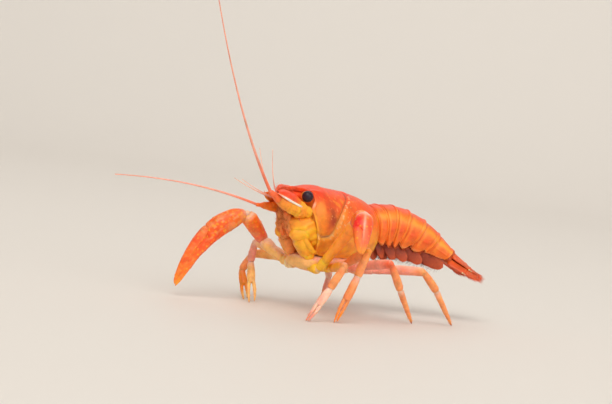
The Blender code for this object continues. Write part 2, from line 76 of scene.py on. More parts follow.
RED = srgb(244, 68, 30)
RED_ORANGE = srgb(250, 90, 34)
ORANGE = srgb(252, 118, 34)
LIGHT_ORANGE = srgb(255, 150, 52)
AMBER = srgb(255, 164, 48)
YELLOW = srgb(255, 192, 44)
PEACH = srgb(246, 158, 96)
RUST = srgb(250, 152, 84)
BROWN = srgb(192, 80, 34)
DARK_BROWN = srgb(130, 46, 26)
PALE = srgb(252, 216, 160)
SAND = srgb(255, 196, 116)
PINK = srgb(242, 160, 138)
PALE_PINK = srgb(250, 196, 172)
WHITE = srgb(255, 232, 216)
CORAL = srgb(244, 112, 70)
SPOT_RED = srgb(246, 44, 34)
NEAR_BLACK = np.array((0.02, 0.01, 0.03))


def mix(base, *layers):
    """base turned towards the colour of each layer, one after another, by that layer's amount."""
    for colour, amount in layers:
        amount = held(amount)[..., None]
        base = base * (1 - amount) + colour * amount
    return base


# --- Curves and noise ---


def held(value):
    return np.clip(value, 0, 1)


def steps(count, start=0.0, end=1.0):
    """Even steps as a column."""
    return np.linspace(start, end, count)[:, None]


def circle(count, start=0.0):
    """Even turns round a ring, in radians."""
    return np.linspace(start, start + 2 * math.pi, count, endpoint=False)


def ramp(keys, values, at, monotone=True):
    """A cubic through values at keys. When monotone it never swings past a value."""
    keys, values = np.asarray(keys, float), np.asarray(values, float)
    flat = values.reshape(len(keys), -1)
    gaps = np.diff(keys)
    slopes = np.diff(flat, axis=0) / gaps[:, None]
    if monotone:
        product = slopes[:-1] * slopes[1:]
        total = np.where(product > 0, slopes[:-1] + slopes[1:], 1)
        inner = np.where(product > 0, 2 * product / total, 0)
        tangents = np.vstack((slopes[:1], inner, slopes[-1:]))
    else:
        tangents = np.gradient(flat, keys, axis=0)
    at = np.clip(at, keys[0], keys[-1])
    k = np.clip(np.searchsorted(keys, at, side="right") - 1, 0, len(keys) - 2)
    step = gaps[k][..., None]
    t = (at - keys[k])[..., None] / step
    found = (
        (2 * t**3 - 3 * t**2 + 1) * flat[k]
        + (t**3 - 2 * t**2 + t) * tangents[k] * step
        + (3 * t**2 - 2 * t**3) * flat[k + 1]
        + (t**3 - t**2) * tangents[k + 1] * step
    )
    return found.reshape(at.shape + values.shape[1:])


def sizes_at(stations, at):
    """The sizes in each row of stations, after its key, at these places."""
    keys, *sizes = np.array(stations).T
    return [ramp(keys, size, at) for size in sizes]


def through(points, count):
    """A smooth path of count points through these points."""
    lengths = np.linalg.norm(np.diff(points, axis=0), axis=1)
    keys = np.concatenate(([0], np.cumsum(lengths)))
    return ramp(keys, points, np.linspace(0, keys[-1], count), monotone=False)


def bezier(points, share):
    a, b, c = np.asarray(points, float)
    return a * (1 - share) ** 2 + b * 2 * share * (1 - share) + c * share**2


def unit(vectors):
    return vectors / np.linalg.norm(vectors, axis=-1, keepdims=True)


def turned(a, b, degrees):
    """The direction a turned towards b, and b turned away from a."""
    c, s = math.cos(math.radians(degrees)), math.sin(math.radians(degrees))
    return a * c + b * s, b * c - a * s


def bell(distance, width):
    return np.exp(-((distance / width) ** 2))


def step_up(value, start, end):
    t = held((value - start) / (end - start))
    return t * t * (3 - 2 * t)


def power(value, exponent):
    """A power that keeps the sign, which makes a ring squarer or more pointed."""
    return np.sign(value) * np.abs(value) ** exponent


def wobble(points, size, seed):
    """Smooth noise between about -1 and 1, whose features are size mm across."""
    draw = np.random.default_rng(seed)
    total = 0
    for _ in range(7):
        wave = unit(draw.normal(size=3)) * 2 * math.pi / (size * draw.uniform(1.2, 2.6))
        total = total + np.sin(points @ wave + draw.uniform(0, 2 * math.pi))
    return total / 3.5


def mirrored(points, side):
    """Points of the left side, moved to the right side where side is -1."""
    return np.asarray(points, float) * (1, side, 1)


# --- Mesh tools ---


def normals(grid, closed=True):
    """Outward unit normals of a grid of points."""
    along = np.gradient(grid, axis=0)
    around = np.roll(grid, -1, axis=1) - np.roll(grid, 1, axis=1) if closed else np.gradient(grid, axis=1)
    found = np.cross(around, along)
    found /= np.maximum(np.linalg.norm(found, axis=-1, keepdims=True), 1e-9)
    outward = grid - grid.mean(axis=1, keepdims=True)
    return found if (found * outward).sum() > 0 else -found


def raised(grid, height, closed=True):
    return grid + normals(grid, closed) * np.asarray(height)[..., None]


def facing(grid, way, start=0.2, end=0.9):
    """Rises from 0 to 1 where the surface turns upwards, or downwards where way is -1."""
    return step_up(way * normals(grid)[..., 2], start, end)


def beads(grid, spots, radii):
    """Height from 0 to 1 of round bumps at these spots."""
    height = np.zeros(grid.shape[:2])
    for spot, radius in zip(spots, radii):
        away = ((grid - spot) ** 2).sum(-1) / radius**2
        height = np.maximum(height, np.exp(-1.5 * away))
    return height


def speckled(grid, tint, count, seed, size, height, rows=(0.0, 1.0)):
    """Round yellow granules at random places on a grid, kept apart from each other."""
    draw = np.random.default_rng(seed)
    flat = grid[int(rows[0] * (len(grid) - 1)) : int(rows[1] * (len(grid) - 1)) + 1].reshape(-1, 3)
    tries = flat[draw.integers(0, len(flat), count * 12)]
    apart = np.ptp(flat, axis=0).max() * 2.2 / math.sqrt(count) * 0.36
    spots = [tries[0]]
    for spot in tries[1:]:
        if len(spots) < count and ((np.array(spots) - spot) ** 2).sum(1).min() > apart**2:
            spots.append(spot)
    draw = np.random.default_rng(seed + 1)
    bumps = beads(grid, spots, draw.uniform(0.6, 1.25, len(spots)) * size)
    return raised(grid, height * bumps), mix(tint, (YELLOW, 0.7 * bumps**1.5))


def placed(name, data):
    """A new object in the scene."""
    thing = bpy.data.objects.new(name, data)
    bpy.context.scene.collection.objects.link(thing)
    return thing


class Shape:
    """Collects grids of points and their colours into one mesh."""

    def __init__(self):
        self.points, self.tints, self.quads, self.triangles = [], [], [], []
        self.count = 0

    def add(self, grid, tint, shell=False):
        """Joins the rows of a closed grid by faces, and closes its ends.

        A shell's rows go out along its outer face and come back along its inner one.
        """
        rows, columns, _ = grid.shape
        here = np.arange(rows * columns).reshape(rows, columns)
        after = np.roll(here, -1, axis=1)
        quads = np.stack((here[:-1], after[:-1], after[1:], here[1:]), axis=-1).reshape(-1, 4)
        triangles = np.empty((0, 3), int)
        points = grid.reshape(-1, 3)
        tint = np.broadcast_to(tint, grid.shape).reshape(-1, 3)
        if shell:
            k = np.arange(columns // 2 - 1)
            for ring, order in ((here[0], 1), (here[-1], -1)):
                strip = np.stack((ring[k + 1], ring[k], ring[-1 - k], ring[-2 - k]), axis=-1)
                quads = np.vstack((quads, strip[:, ::order]))
        else:
            points = np.vstack((points, grid[0].mean(0), grid[-1].mean(0)))
            tint = np.vstack((tint, tint[:1], tint[-1:]))
            centre = np.full(columns, rows * columns)
            front = np.stack((after[0], here[0], centre), axis=-1)
            triangles = np.vstack((front, np.stack((here[-1], after[-1], centre + 1), axis=-1)))
        a, b, c, d = (points[quads[:, k]] - points.mean(0) for k in range(4))
        if (np.cross(a, b) * c).sum() + (np.cross(a, c) * d).sum() < 0:
            quads, triangles = quads[:, ::-1], triangles[:, ::-1]
        self.points.append(points)
        self.tints.append(tint)
        self.quads.append(quads + self.count)
        self.triangles.append(triangles + self.count)
        self.count += len(points)

    def build(self, name, material, slot, *nodes, sharp=50, bake_map=None):
        """Makes the object, which rides on the root body and stands for these CAD nodes."""
        points = np.vstack(self.points)
        points[:, 2] = np.maximum(points[:, 2], 0.0)  # nothing reaches below the floor it stands on
        quads, triangles = np.vstack(self.quads), np.vstack(self.triangles)
        corners = np.concatenate((quads.ravel(), triangles.ravel()))
        starts = np.concatenate((np.arange(len(quads)) * 4, quads.size + np.arange(len(triangles)) * 3))
        mesh = bpy.data.meshes.new(name)
        mesh.vertices.add(len(points))
        mesh.vertices.foreach_set("co", to_scene(points).astype(np.float32).ravel())
        mesh.loops.add(len(corners))
        mesh.loops.foreach_set("vertex_index", corners.astype(np.int32))
        mesh.polygons.add(len(starts))
        mesh.polygons.foreach_set("loop_start", starts.astype(np.int32))
        mesh.update(calc_edges=True)
        mesh.validate()
        colours = np.hstack((np.vstack(self.tints), np.ones((len(points), 1))))
        layer = mesh.attributes.new("tint", "FLOAT_COLOR", "POINT")
        layer.data.foreach_set("color", colours.astype(np.float32).ravel())
        if bake_map is not None:
            uv = mesh.uv_layers.new(name="OFBake")
            uv.uv.foreach_set("vector", bake_map[corners].astype(np.float32).ravel())
        mesh.shade_smooth()
        if sharp:
            mesh.set_sharp_from_angle(angle=math.radians(sharp))
        mesh.materials.append(material)
        thing = placed(name, mesh)
        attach(thing, "root")
        if nodes:
            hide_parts(*nodes)


def rings(middle, side, over, aside, above):
    """Points round a line of middles, aside and above them in the directions side and over."""
    return middle[:, None] + side[:, None] * aside[..., None] + over[:, None] * above[..., None]


def sweep(path, wide, deep, reference, spokes=32, squareness=1.0):
    """Rings round a path. wide lies square to reference, deep lies nearest to it."""
    tangent = unit(np.gradient(path, axis=0))
    side = unit(np.cross(np.broadcast_to(reference, path.shape), tangent))
    over = np.cross(tangent, side)
    wide, deep = np.ravel(wide)[:, None], np.ravel(deep)[:, None]
    across, up = (power(wave(circle(spokes)), squareness) for wave in (np.cos, np.sin))
    return rings(path, side, over, wide * across, deep * up)


def segment(start, end, profile, reference, rows=40, spokes=28, back=0.25, ahead=0.2, bow=0.0):
    """A limb piece with rounded ends, and its shares. profile lists (share, half width, half depth).

    It starts a little before start, by back, ends beyond end, by ahead, and bows towards reference.
    """
    length = np.linalg.norm(end - start)
    axis = (end - start) / length
    low, high = -back, length + ahead
    u = low + (high - low) * (0.5 - 0.5 * np.cos(math.pi * steps(rows, 0.02, 0.98)))
    share = u / length
    wide, deep = sizes_at(profile, share)
    inside = np.minimum(np.minimum(u - low, high - u) / (0.75 * np.minimum(wide, deep)), 1)
    round_off = np.sqrt(held(1 - (1 - inside) ** 2))
    over = np.cross(axis, unit(np.cross(reference, axis)))
    path = start + axis * u + over * bow * np.sin(math.pi * held(share))
    return sweep(path, wide * round_off, deep * round_off, reference, spokes), share


def ball(centre, radii, spokes=20, axis=UP):
    """A soft joint membrane."""
    t = steps(14, 0.04, 0.96) * math.pi
    path = centre - unit(axis) * (radii[2] * np.cos(t))
    return sweep(path, radii[0] * np.sin(t), radii[1] * np.sin(t), LEFT, spokes)


# --- Materials ---


def connect(tree, made, inputs):
    """Gives each input of a node its value, or a link where that is another node's output."""
    for key, value in inputs.items():
        if isinstance(value, bpy.types.NodeSocket):
            tree.links.new(value, made.inputs[key])
        else:
            made.inputs[key].default_value = value


def node(tree, kind, output, inputs, **settings):
    """The named output of a new node."""
    made = tree.nodes.new("ShaderNode" + kind)
    for key, value in settings.items():
        setattr(made, key, value)
    connect(tree, made, inputs)
    return made.outputs[output]


def mapped(tree, value, old, new):
    """value turned from the range old to the range new."""
    limits = {"From Min": old[0], "From Max": old[1], "To Min": new[0], "To Max": new[1]}
    return node(tree, "MapRange", "Result", {"Value": value, **limits})


def new_material(name):
    material = bpy.data.materials.new(name)
    material.use_nodes = True
    return material, material.node_tree, material.node_tree.nodes["Principled BSDF"]


CLOUDS = (0.3, 0.7)  # the range in which most of a noise texture's values lie


def shell_material(name, roughness, coat, subsurface, depth=0.5, mottle=1.2, speckle=0.25):
    """Glossy, slightly translucent shell whose base colour is the mesh's tint.

    depth is how far light spreads in it, and mottle the size of its cloudy patches, in mm.
    """
    material, tree, shader = new_material(name)
    place = node(tree, "TexCoord", "Object", {})
    tint = node(tree, "Attribute", "Color", {}, attribute_name="tint")
    noise = {"Vector": place, "Scale": 1 / (mottle * MM), "Detail": 5, "Roughness": 0.62}
    cloud = node(tree, "TexNoise", "Fac", noise)
    shade = mapped(tree, cloud, CLOUDS, (0.8, 1.16))
    varied = node(tree, "HueSaturation", "Color", {"Value": shade, "Color": tint})
    dots = node(tree, "TexVoronoi", "Distance", {"Vector": place, "Scale": 1 / (0.42 * MM)})
    fleck = mapped(tree, dots, (0.05, 0.34), (speckle, 0.0))
    colours = {"Factor": fleck, "A": varied, "B": (*LIGHT_ORANGE, 1)}
    holes = node(tree, "TexVoronoi", "Distance", {"Vector": place, "Scale": 1 / (0.3 * MM)})
    grain = node(tree, "TexNoise", "Fac", {"Vector": place, "Scale": 1 / (0.16 * MM), "Detail": 3})
    relief = node(tree, "Math", "Value", {0: grain, 1: 0.35, 2: holes}, operation="MULTIPLY_ADD")
    bump = {"Height": relief, "Strength": 0.35, "Distance": 0.03 * MM}
    finish = {
        "Base Color": node(tree, "Mix", "Result", colours, data_type="RGBA"),
        "Roughness": mapped(tree, cloud, CLOUDS, (roughness - 0.06, roughness + 0.1)),
        "Normal": node(tree, "Bump", "Normal", bump),
        "Coat Weight": coat,
        "Coat Roughness": 0.3,
        "Specular IOR Level": 0.32,
        "Subsurface Weight": subsurface,
        "Subsurface Scale": depth * MM,
        "Subsurface Radius": (1.0, 0.42, 0.15),
    }
    connect(tree, shader, finish)
    return material


def eye_material():
    """Black-violet cornea with the fine lattice of a compound eye under a clear coat."""
    material, tree, shader = new_material("eye_cornea")
    place = node(tree, "TexCoord", "Object", {})
    facets = node(tree, "TexVoronoi", "Distance", {"Vector": place, "Scale": 1 / (0.055 * MM)})
    lattice = node(tree, "ValToRGB", "Color", {"Fac": facets})
    centre, rim = lattice.node.color_ramp.elements
    centre.color, rim.color = (0.05, 0.02, 0.036, 1), (0.014, 0.006, 0.012, 1)
    bump = {"Height": facets, "Strength": 0.12, "Distance": 0.01 * MM}
    finish = {
        "Base Color": lattice,
        "Normal": node(tree, "Bump", "Normal", bump),
        "Roughness": 0.35,
        "Specular IOR Level": 0.16,
        "Coat Weight": 0.22,
        "Coat Roughness": 0.05,
    }
    connect(tree, shader, finish)
    return material


SHELL = shell_material("shell_gloss", 0.42, 0.12, 0.45)
CLAW = shell_material("shell_claw", 0.4, 0.15, 0.4, mottle=0.9, speckle=0.3)
LIMB = shell_material("shell_limb", 0.4, 0.1, 0.5, depth=0.16, mottle=0.8, speckle=0.12)
SOFT = shell_material("soft_skin", 0.46, 0.08, 0.5, depth=0.16, mottle=0.7, speckle=0.1)
FEELER = shell_material("feeler", 0.38, 0.2, 0.3, depth=0.1, mottle=1.5, speckle=0.0)
BRISTLE = shell_material("bristle", 0.45, 0.0, 0.0, mottle=2.0, speckle=0.0)
EYE = eye_material()


# --- Bristles ---

TILES = 8  # the bristles' map is a square of this many tiles a side, one for each piece of skin
PATCH = 0.003  # size of one bristle's place on that map
# The seven points of a bristle: two rings of three, then its tip.
BRISTLE_QUADS = np.array(((0, 1, 4, 3), (1, 2, 5, 4), (2, 0, 3, 5)))
BRISTLE_TRIANGLES = np.array(((3, 4, 6), (4, 5, 6), (5, 3, 6), (0, 2, 1)))
BRISTLE_MAP = np.array(((0, 0), (1, 0), (0.5, 1), (0.1, 0.1), (0.9, 0.1), (0.5, 0.9), (0.5, 0.4)))


class Bristles:
    """Tapering bristles as solid mesh, each with its patch at its root's place on the skin's map."""

    def __init__(self):
        self.fields = []

    def along(self, grid, rows, columns, count, seed, length, radius, lean, colour, spread=0.25):
        """Bristles growing from a range of a closed grid, given as shares, leaning towards lean."""
        draw = np.random.default_rng(seed)
        v = draw.uniform(*rows, count)
        u = draw.uniform(*columns, count) % 1.0
        i = (v * (grid.shape[0] - 1)).astype(int)
        j = (u * grid.shape[1]).astype(int) % grid.shape[1]
        out, lean = normals(grid)[i, j], np.array(lean)
        directions = unit(out + lean + draw.normal(0, spread, (count, 3)))
        lengths = length * draw.uniform(0.55, 1.15, (count, 1))
        tints = colour * draw.uniform(0.7, 1.2, (count, 1))
        sag = (lean * 0.4 + draw.normal(0, 0.1, (count, 3))) * lengths
        tile = divmod(len(self.fields), TILES)[::-1]
        places = (np.array(tile) + np.clip(np.stack((u, v), -1), 0.02, 0.98)) / TILES
        radii = np.full((count, 1), radius)
        self.fields.append((grid[i, j] - out * 0.02, directions, lengths, radii, sag, tints, places))

    def build(self, name, slot):
        roots, directions, lengths, radii, sag, tints, places = map(np.concatenate, zip(*self.fields))
        side = unit(np.cross(directions, (0.31, 0.27, 0.91)))
        over = np.cross(directions, side)
        points = []
        for share, thick in ((0, 1.0), (0.5, 0.62)):
            middle = roots + directions * (lengths * share) + sag * share**2
            for turn in np.radians((0, 120, 240)):
                points.append(middle + (side * math.cos(turn) + over * math.sin(turn)) * (radii * thick))
        points.append(roots + directions * lengths + sag)
        first = (np.arange(len(roots)) * len(points))[:, None, None]
        shape = Shape()
        shape.points.append(np.stack(points, axis=1).reshape(-1, 3))
        shape.tints.append(np.repeat(tints, len(points), axis=0))
        shape.quads.append((first + BRISTLE_QUADS).reshape(-1, 4))
        shape.triangles.append((first + BRISTLE_TRIANGLES).reshape(-1, 3))
        bake_map = (places[:, None] + (BRISTLE_MAP - 0.5) * PATCH).reshape(-1, 2)
        shape.build(name, BRISTLE, slot, sharp=None, bake_map=bake_map)


FACE_HAIR, LEG_HAIR, BODY_HAIR, TAIL_HAIR = (Bristles() for _ in range(4))


def build_bristles():
    FACE_HAIR.build("bristles_face", "mouthpart")
    LEG_HAIR.build("bristles_legs", "orange_leg_shell")
    BODY_HAIR.build("bristles_body", "abdomen_shell")
    TAIL_HAIR.build("bristles_tail", "tail_shell")


# --- Carapace ---

SHELL_REAR = -6.7
SHELL_STATIONS = (
    # forward, top, bottom, half width, widest level as a share of the height
    (-6.7, 12.9, 7.0, 2.75, 0.48),
    (-6.2, 13.3, 6.5, 3.1, 0.47),
    (-5.0, 13.85, 6.3, 3.4, 0.46),
    (-3.2, 14.3, 6.25, 3.6, 0.46),
    (-1.2, 14.6, 6.25, 3.65, 0.46),
    (0.5, 14.75, 6.3, 3.55, 0.47),
    (1.4, 14.85, 6.3, 3.42, 0.48),
    (2.4, 15.0, 6.5, 3.3, 0.48),
    (3.5, 14.95, 7.0, 3.05, 0.48),
    (4.1, 14.85, 7.8, 2.85, 0.5),
    (4.45, 14.8, 8.2, 2.7, 0.5),
    (5.2, 14.8, 8.4, 2.6, 0.5),
    (6.4, 14.82, 8.6, 2.5, 0.5),
    (7.3, 14.6, 8.8, 2.4, 0.5),
    (8.3, 14.0, 9.0, 2.3, 0.5),
)
SECTION_POWER = 2 / 2.2
SHELL_LOW = math.radians(148)  # how far round the shell reaches
SHELL_RADIUS = 3.7  # turns a turn into a distance on the shell
# The rostrum, as forward and half width.
ROSTRUM = ((4.2, 1.75), (4.45, 1.5), (5.2, 1.22), (6.4, 1.05), (7.15, 0.86), (7.4, 0.6), (8.25, 0.0))
# The front margin below the rostrum, as level and forward.
MARGIN = ((6, 2.2), (7, 2.7), (9, 3.35), (11.6, 4.3), (12.35, 4.62), (12.95, 4.4), (13.5, 4.12), (15, 4.15))
# The cervical groove, as forward and degrees round from the top.
GROOVE = (
    *((-1.75, 0), (-1.55, 18), (-1.02, 38), (-0.04, 56), (0.61, 71.5)),
    *((1.16, 85), (1.5, 97), (1.95, 104), (2.9, 109), (3.7, 108)),
)
# Rows of granules by the groove: distance from it, spacing, size, and start and end along it.
GRANULE_ROWS = ((0.34, 0.36, 0.11, 2.0, 7.4), (0.86, 0.8, 0.08, 1.6, 6.4), (0.3, 0.55, 0.09, 8.0, 10.4))


def shell_section(f, turn, inset=0.0):
    """Points of the cephalothorax at f, turn radians round from the top towards the left."""
    f, turn = np.broadcast_arrays(f, turn)
    top, bottom, half, belly = sizes_at(SHELL_STATIONS, f)
    top, bottom, half = top - inset, bottom + inset, half - inset
    middle = bottom + (top - bottom) * belly
    across, up = power(np.sin(turn), SECTION_POWER), power(np.cos(turn), SECTION_POWER)
    reach = np.where(up > 0, top - middle, middle - bottom)
    return np.stack((f, half * across, middle + reach * up), axis=-1)


def front_edge(turn):
    """How far forward the shell reaches on each line of it."""
    reach, widths = zip(*reversed(ROSTRUM))
    low, high = np.zeros_like(turn), np.full_like(turn, 8.4)
    for _ in range(40):
        middle = (low + high) / 2
        points = shell_section(middle, turn)
        left = np.abs(points[..., 1])
        edge = ramp(*zip(*MARGIN), points[..., 2])
        on_top = (np.abs(turn) < 1.1) & (left < widths[-1])
        edge = np.where(on_top, np.maximum(edge, ramp(widths, reach, left)), edge)
        inside = middle < edge
        low, high = np.where(inside, middle, low), np.where(inside, high, middle)
    return low


def groove_distance(f, turn):
    """Distance in mm from the cervical groove, positive behind it, and the place along it."""
    path = np.array(GROOVE) * (1, math.radians(1) * SHELL_RADIUS)
    arc = np.abs(turn) * SHELL_RADIUS
    nearest, signed, along, run = np.full(f.shape, 1e9), np.zeros(f.shape), np.zeros(f.shape), 0.0
    for a, b in zip(path, path[1:]):
        line = b - a
        length = math.hypot(*line)
        t = held(((f - a[0]) * line[0] + (arc - a[1]) * line[1]) / length**2)
        df, da = f - (a[0] + line[0] * t), arc - (a[1] + line[1] * t)
        away = np.hypot(df, da)
        closer = away < nearest
        nearest = np.where(closer, away, nearest)
        signed = np.where(closer, away * np.sign(-df * line[1] + da * line[0]), signed)
        along = np.where(closer, run + t * length, along)
        run += length
    return signed, along


def build_carapace():
    across = np.linspace(-1, 1, 301)
    turn = SHELL_LOW * (0.6 * across + 0.4 * across**3)
    front = front_edge(turn)
    rear = SHELL_REAR + 0.25 * np.cos(turn) + 1.5 * step_up(np.abs(turn), math.radians(105), SHELL_LOW) ** 2
    share = steps(200)
    share = share + 0.12 * np.sin(2 * math.pi * share) / (2 * math.pi)
    f = rear + (front - rear) * share
    turn = np.broadcast_to(turn, f.shape)
    grid = shell_section(f, turn)
    level, left = grid[..., 2], np.abs(grid[..., 1])
    degrees = np.degrees(np.abs(turn))
    groove, along = groove_distance(f, turn)
    gap = front - f
    half = ramp(*zip(*ROSTRUM), f)
    inside = np.clip(half - left, 0, 5)
    on_rostrum = step_up(f, 4.3, 5.3)
    on_side = step_up(degrees, 20, 60)
    below_brow = step_up(degrees, 40, 60)
    crest = bell(left - 1.62 - 0.14 * (4.4 - f), 0.2) * step_up(f, 2.3, 3.9) * (1 - step_up(f, 4.3, 5.0))
    trough = held(1 - (left / np.maximum(half, 0.2)) ** 2)
    height = (
        -0.17 * bell(groove, 0.2) * step_up(along, 0.0, 1.2)
        + 0.05 * bell(groove - 0.42, 0.25)
        - 0.02
        + 0.035 * wobble(grid, 1.6, 1) * on_side
        - 0.05 * bell(f - rear - 0.55, 0.14)  # collar groove before the rear edge
        + 0.05 * bell(f - rear - 0.25, 0.2)
        - 0.045 * bell(gap - 0.5, 0.13) * below_brow
        + 0.06 * bell(gap - 0.2, 0.16) * below_brow
        - 0.07 * bell(np.degrees(SHELL_LOW) - degrees - 9, 2.6)
        + on_rostrum * (0.13 * bell(inside - 0.1, 0.13) - 0.2 * trough)
        + 0.14 * crest * (degrees < 60)
        - 0.07 * bell(left - 0.62 - 0.1 * np.abs(f + 3.8), 0.13) * step_up(-f, 1.9, 2.6)  # areola
        + 0.05 * bell(degrees - 118 - 1.6 * f, 5) * step_up(-f, -1.5, 0.5) * wobble(grid, 0.9, 3)
    )

    # Granules: rows along the groove, and a scatter over the cheek, the flank and the back.
    spots, sizes = [], []
    draw = np.random.default_rng(4)
    for offset, step, size, start, end in GRANULE_ROWS:
        for place in np.arange(start, end, step):
            for side in (turn < 0, turn > 0):
                here, away = place + draw.normal(0, 0.08), offset + draw.normal(0, 0.07)
                field = np.hypot(along - here, groove - away) + 9 * side
                spots.append(grid.reshape(-1, 3)[field.argmin()])
                sizes.append(size * draw.uniform(0.45, 1.2))
    row_bumps = beads(grid, spots, sizes)
    cheek = (f > 0.9) & (f < 3.9) & (degrees > 32) & (degrees < 104) & (groove < -0.25)
    flank = (f < 1.2) & (degrees > 40) & (degrees < 135) & (groove > 0.5)
    back = (degrees < 45) & (f < 4.0)
    draw = np.random.default_rng(5)
    spots = []
    for field, count in ((cheek, 60), (flank, 110), (back, 70)):
        places = grid[field]
        spots.extend(places[draw.integers(0, len(places), count)])
    small_bumps = beads(grid, spots, draw.uniform(0.05, 0.1, len(spots)))
    outer = raised(grid, height + 0.07 * row_bumps + 0.035 * small_bumps, closed=False)

    behind = step_up(groove, 0.2, 1.5)
    band = step_up(f, 2.5, 3.0) * (degrees > 30) * step_up(degrees, 38, 62)
    patch = bell(f - 1.7, 0.95) * bell(level - 11.5, 1.9) * step_up(-groove, 0.05, 0.3)
    clouds = wobble(grid * (1, 1, 0.7), 0.6, 25)
    on_cheek = step_up(-groove, 0.0, 0.4) * step_up(degrees, 28, 50)
    on_cheek = on_cheek * (1 - step_up(f, 3.0, 3.8)) * (1 - patch)
    streaks = wobble(grid @ np.array(((0.35, 0.1, 0.6), (0, 0.5, 0), (-0.5, 0.1, 1.3))), 0.55, 23)
    streaks = streaks * step_up(degrees, 80, 105) * behind
    low_clouds = held(wobble(grid * (1, 1, 0.5), 0.9, 21) - 0.15) * step_up(degrees, 96, 118)
    colours = (RED, RED, RED_ORANGE, ORANGE, LIGHT_ORANGE, AMBER, AMBER)
    tint = mix(
        ramp((0, 26, 48, 75, 100, 122, 148), colours, degrees + 9 * wobble(grid, 2.2, 8)),
        (RED_ORANGE, 0.5 * behind * (1 - step_up(degrees, 60, 95))),
        (LIGHT_ORANGE, 0.7 * band * (1 - 0.5 * step_up(gap, 0.9, 0.2))),
        (YELLOW, 0.5 * step_up(gap, 0.5, 0.1) * step_up(degrees, 70, 100)),
        # painted highlight: a pale pink line along the orbital ridge under the eye
        (PALE_PINK, 0.6 * bell(gap - 0.15, 0.14) * bell(level - 12.8, 0.3)),
        (BROWN, patch * (1.0 + 0.5 * wobble(grid, 0.7, 12))),
        (DARK_BROWN, 0.3 * patch**2 * bell(level - 11.0, 1.0)),
        (RED, 0.7 * bell(f - 3.3, 0.9) * bell(level - 13.9, 0.7)),
        (AMBER, 0.5 * on_cheek * step_up(clouds, 0.15, 0.8)),
        (RED, 0.4 * on_cheek * step_up(-clouds, 0.2, 0.8) * (1 - step_up(degrees, 80, 105))),
        (LIGHT_ORANGE, 0.35 * behind * on_side * step_up(clouds, 0.2, 0.9)),
        (PALE, 0.6 * bell(groove - 0.02, 0.1) * step_up(along, 6.6, 7.6)),
        (AMBER, 0.5 * bell(groove - 0.35, 0.4) * step_up(degrees, 45, 75)),
        (YELLOW, 0.5 * held(streaks)),
        (BROWN, 0.3 * held(-streaks)),
        (PALE, 0.65 * held(row_bumps * 1.3)),
        (AMBER, 0.45 * small_bumps),
        (PALE, 0.6 * small_bumps**2 * patch),
        (BROWN, 0.45 * low_clouds),
        (AMBER, 0.5 * step_up(rear + 0.45 - f, 0, 0.25)),
        (SPOT_RED, 0.35 * on_rostrum * bell(left, 0.6)),
        (CORAL, 0.5 * on_rostrum * bell(inside - 0.08, 0.16)),
    )
    thickness = 0.17 + 0.38 * step_up(f, 3.9, 5.2) * (degrees < 62) * np.clip(1.15 - 0.1 * f, 0.3, 1)
    inner = raised(grid, -thickness, closed=False)
    # the plate's inner face gets painted shade, except under the rostrum
    build_plate(outer, inner, tint, 0.5 * (1 - on_rostrum), "carapace_plate", "carapace_shell", "carapace")


def build_plate(outer, inner, tint, inner_shade, name, slot, node):
    """A shell plate of the body, its inner face turned browner by painted shade. Returns its grid."""
    plate = np.concatenate((outer, inner[:, ::-1]), axis=1)
    # painted shade on the inner face, which lies inside the body
    tints = np.concatenate((tint, mix(tint, (BROWN, inner_shade))[:, ::-1]), axis=1)
    shape = Shape()
    shape.add(plate, tints, shell=True)
    shape.build(name, SHELL, slot, node)
    return plate


def build_core():
    """The soft body inside the shell: it closes the gaps at the neck, the eyes and the cheeks."""
    f = np.concatenate((steps(90, -7.4, 4.0), 4.0 + 0.55 * np.sin(steps(14, 0.05, 1.5))))
    inset = 0.3 + 1.4 * step_up(f, 3.6, 4.6) ** 2 + 0.6 * step_up(-f, 6.0, 7.4)
    grid = shell_section(f, circle(72, -math.pi), inset)
    slope = np.minimum(f, 4.35 - 0.42 * np.clip(11.6 - grid[..., 2], 0, 9))
    grid[..., 0] = np.where(f > 1, np.minimum(grid[..., 0], slope), grid[..., 0])
    grid = raised(grid, 0.03 * wobble(grid, 0.8, 31))
    tint = ramp((6, 9, 12, 13.2, 15), (ORANGE, AMBER, AMBER, ORANGE, RED_ORANGE), grid[..., 2])
    shape = Shape()
    shape.add(grid, mix(tint, (BROWN, 0.6 * step_up(-grid[..., 0], 6.2, 6.8))))
    share = steps(60)
    fullness = np.sqrt(np.clip(1 - (2 * share - 1) ** 4, 0.002, 1))
    middle = (3.6, 0.0, 13.35) + share * (3.3, 0.0, 0.1)
    brow = sweep(middle, 1.5 * fullness * (1 - 0.35 * share), 0.95 * fullness, UP, 56)
    brow = raised(brow, 0.04 * wobble(brow, 0.6, 33))
    shape.add(brow, ramp((0, 0.5, 1), (ORANGE, RED_ORANGE, RED), share))
    shape.build("inner_body", SOFT, "underside")


# --- Eyes, feelers and mouthparts ---


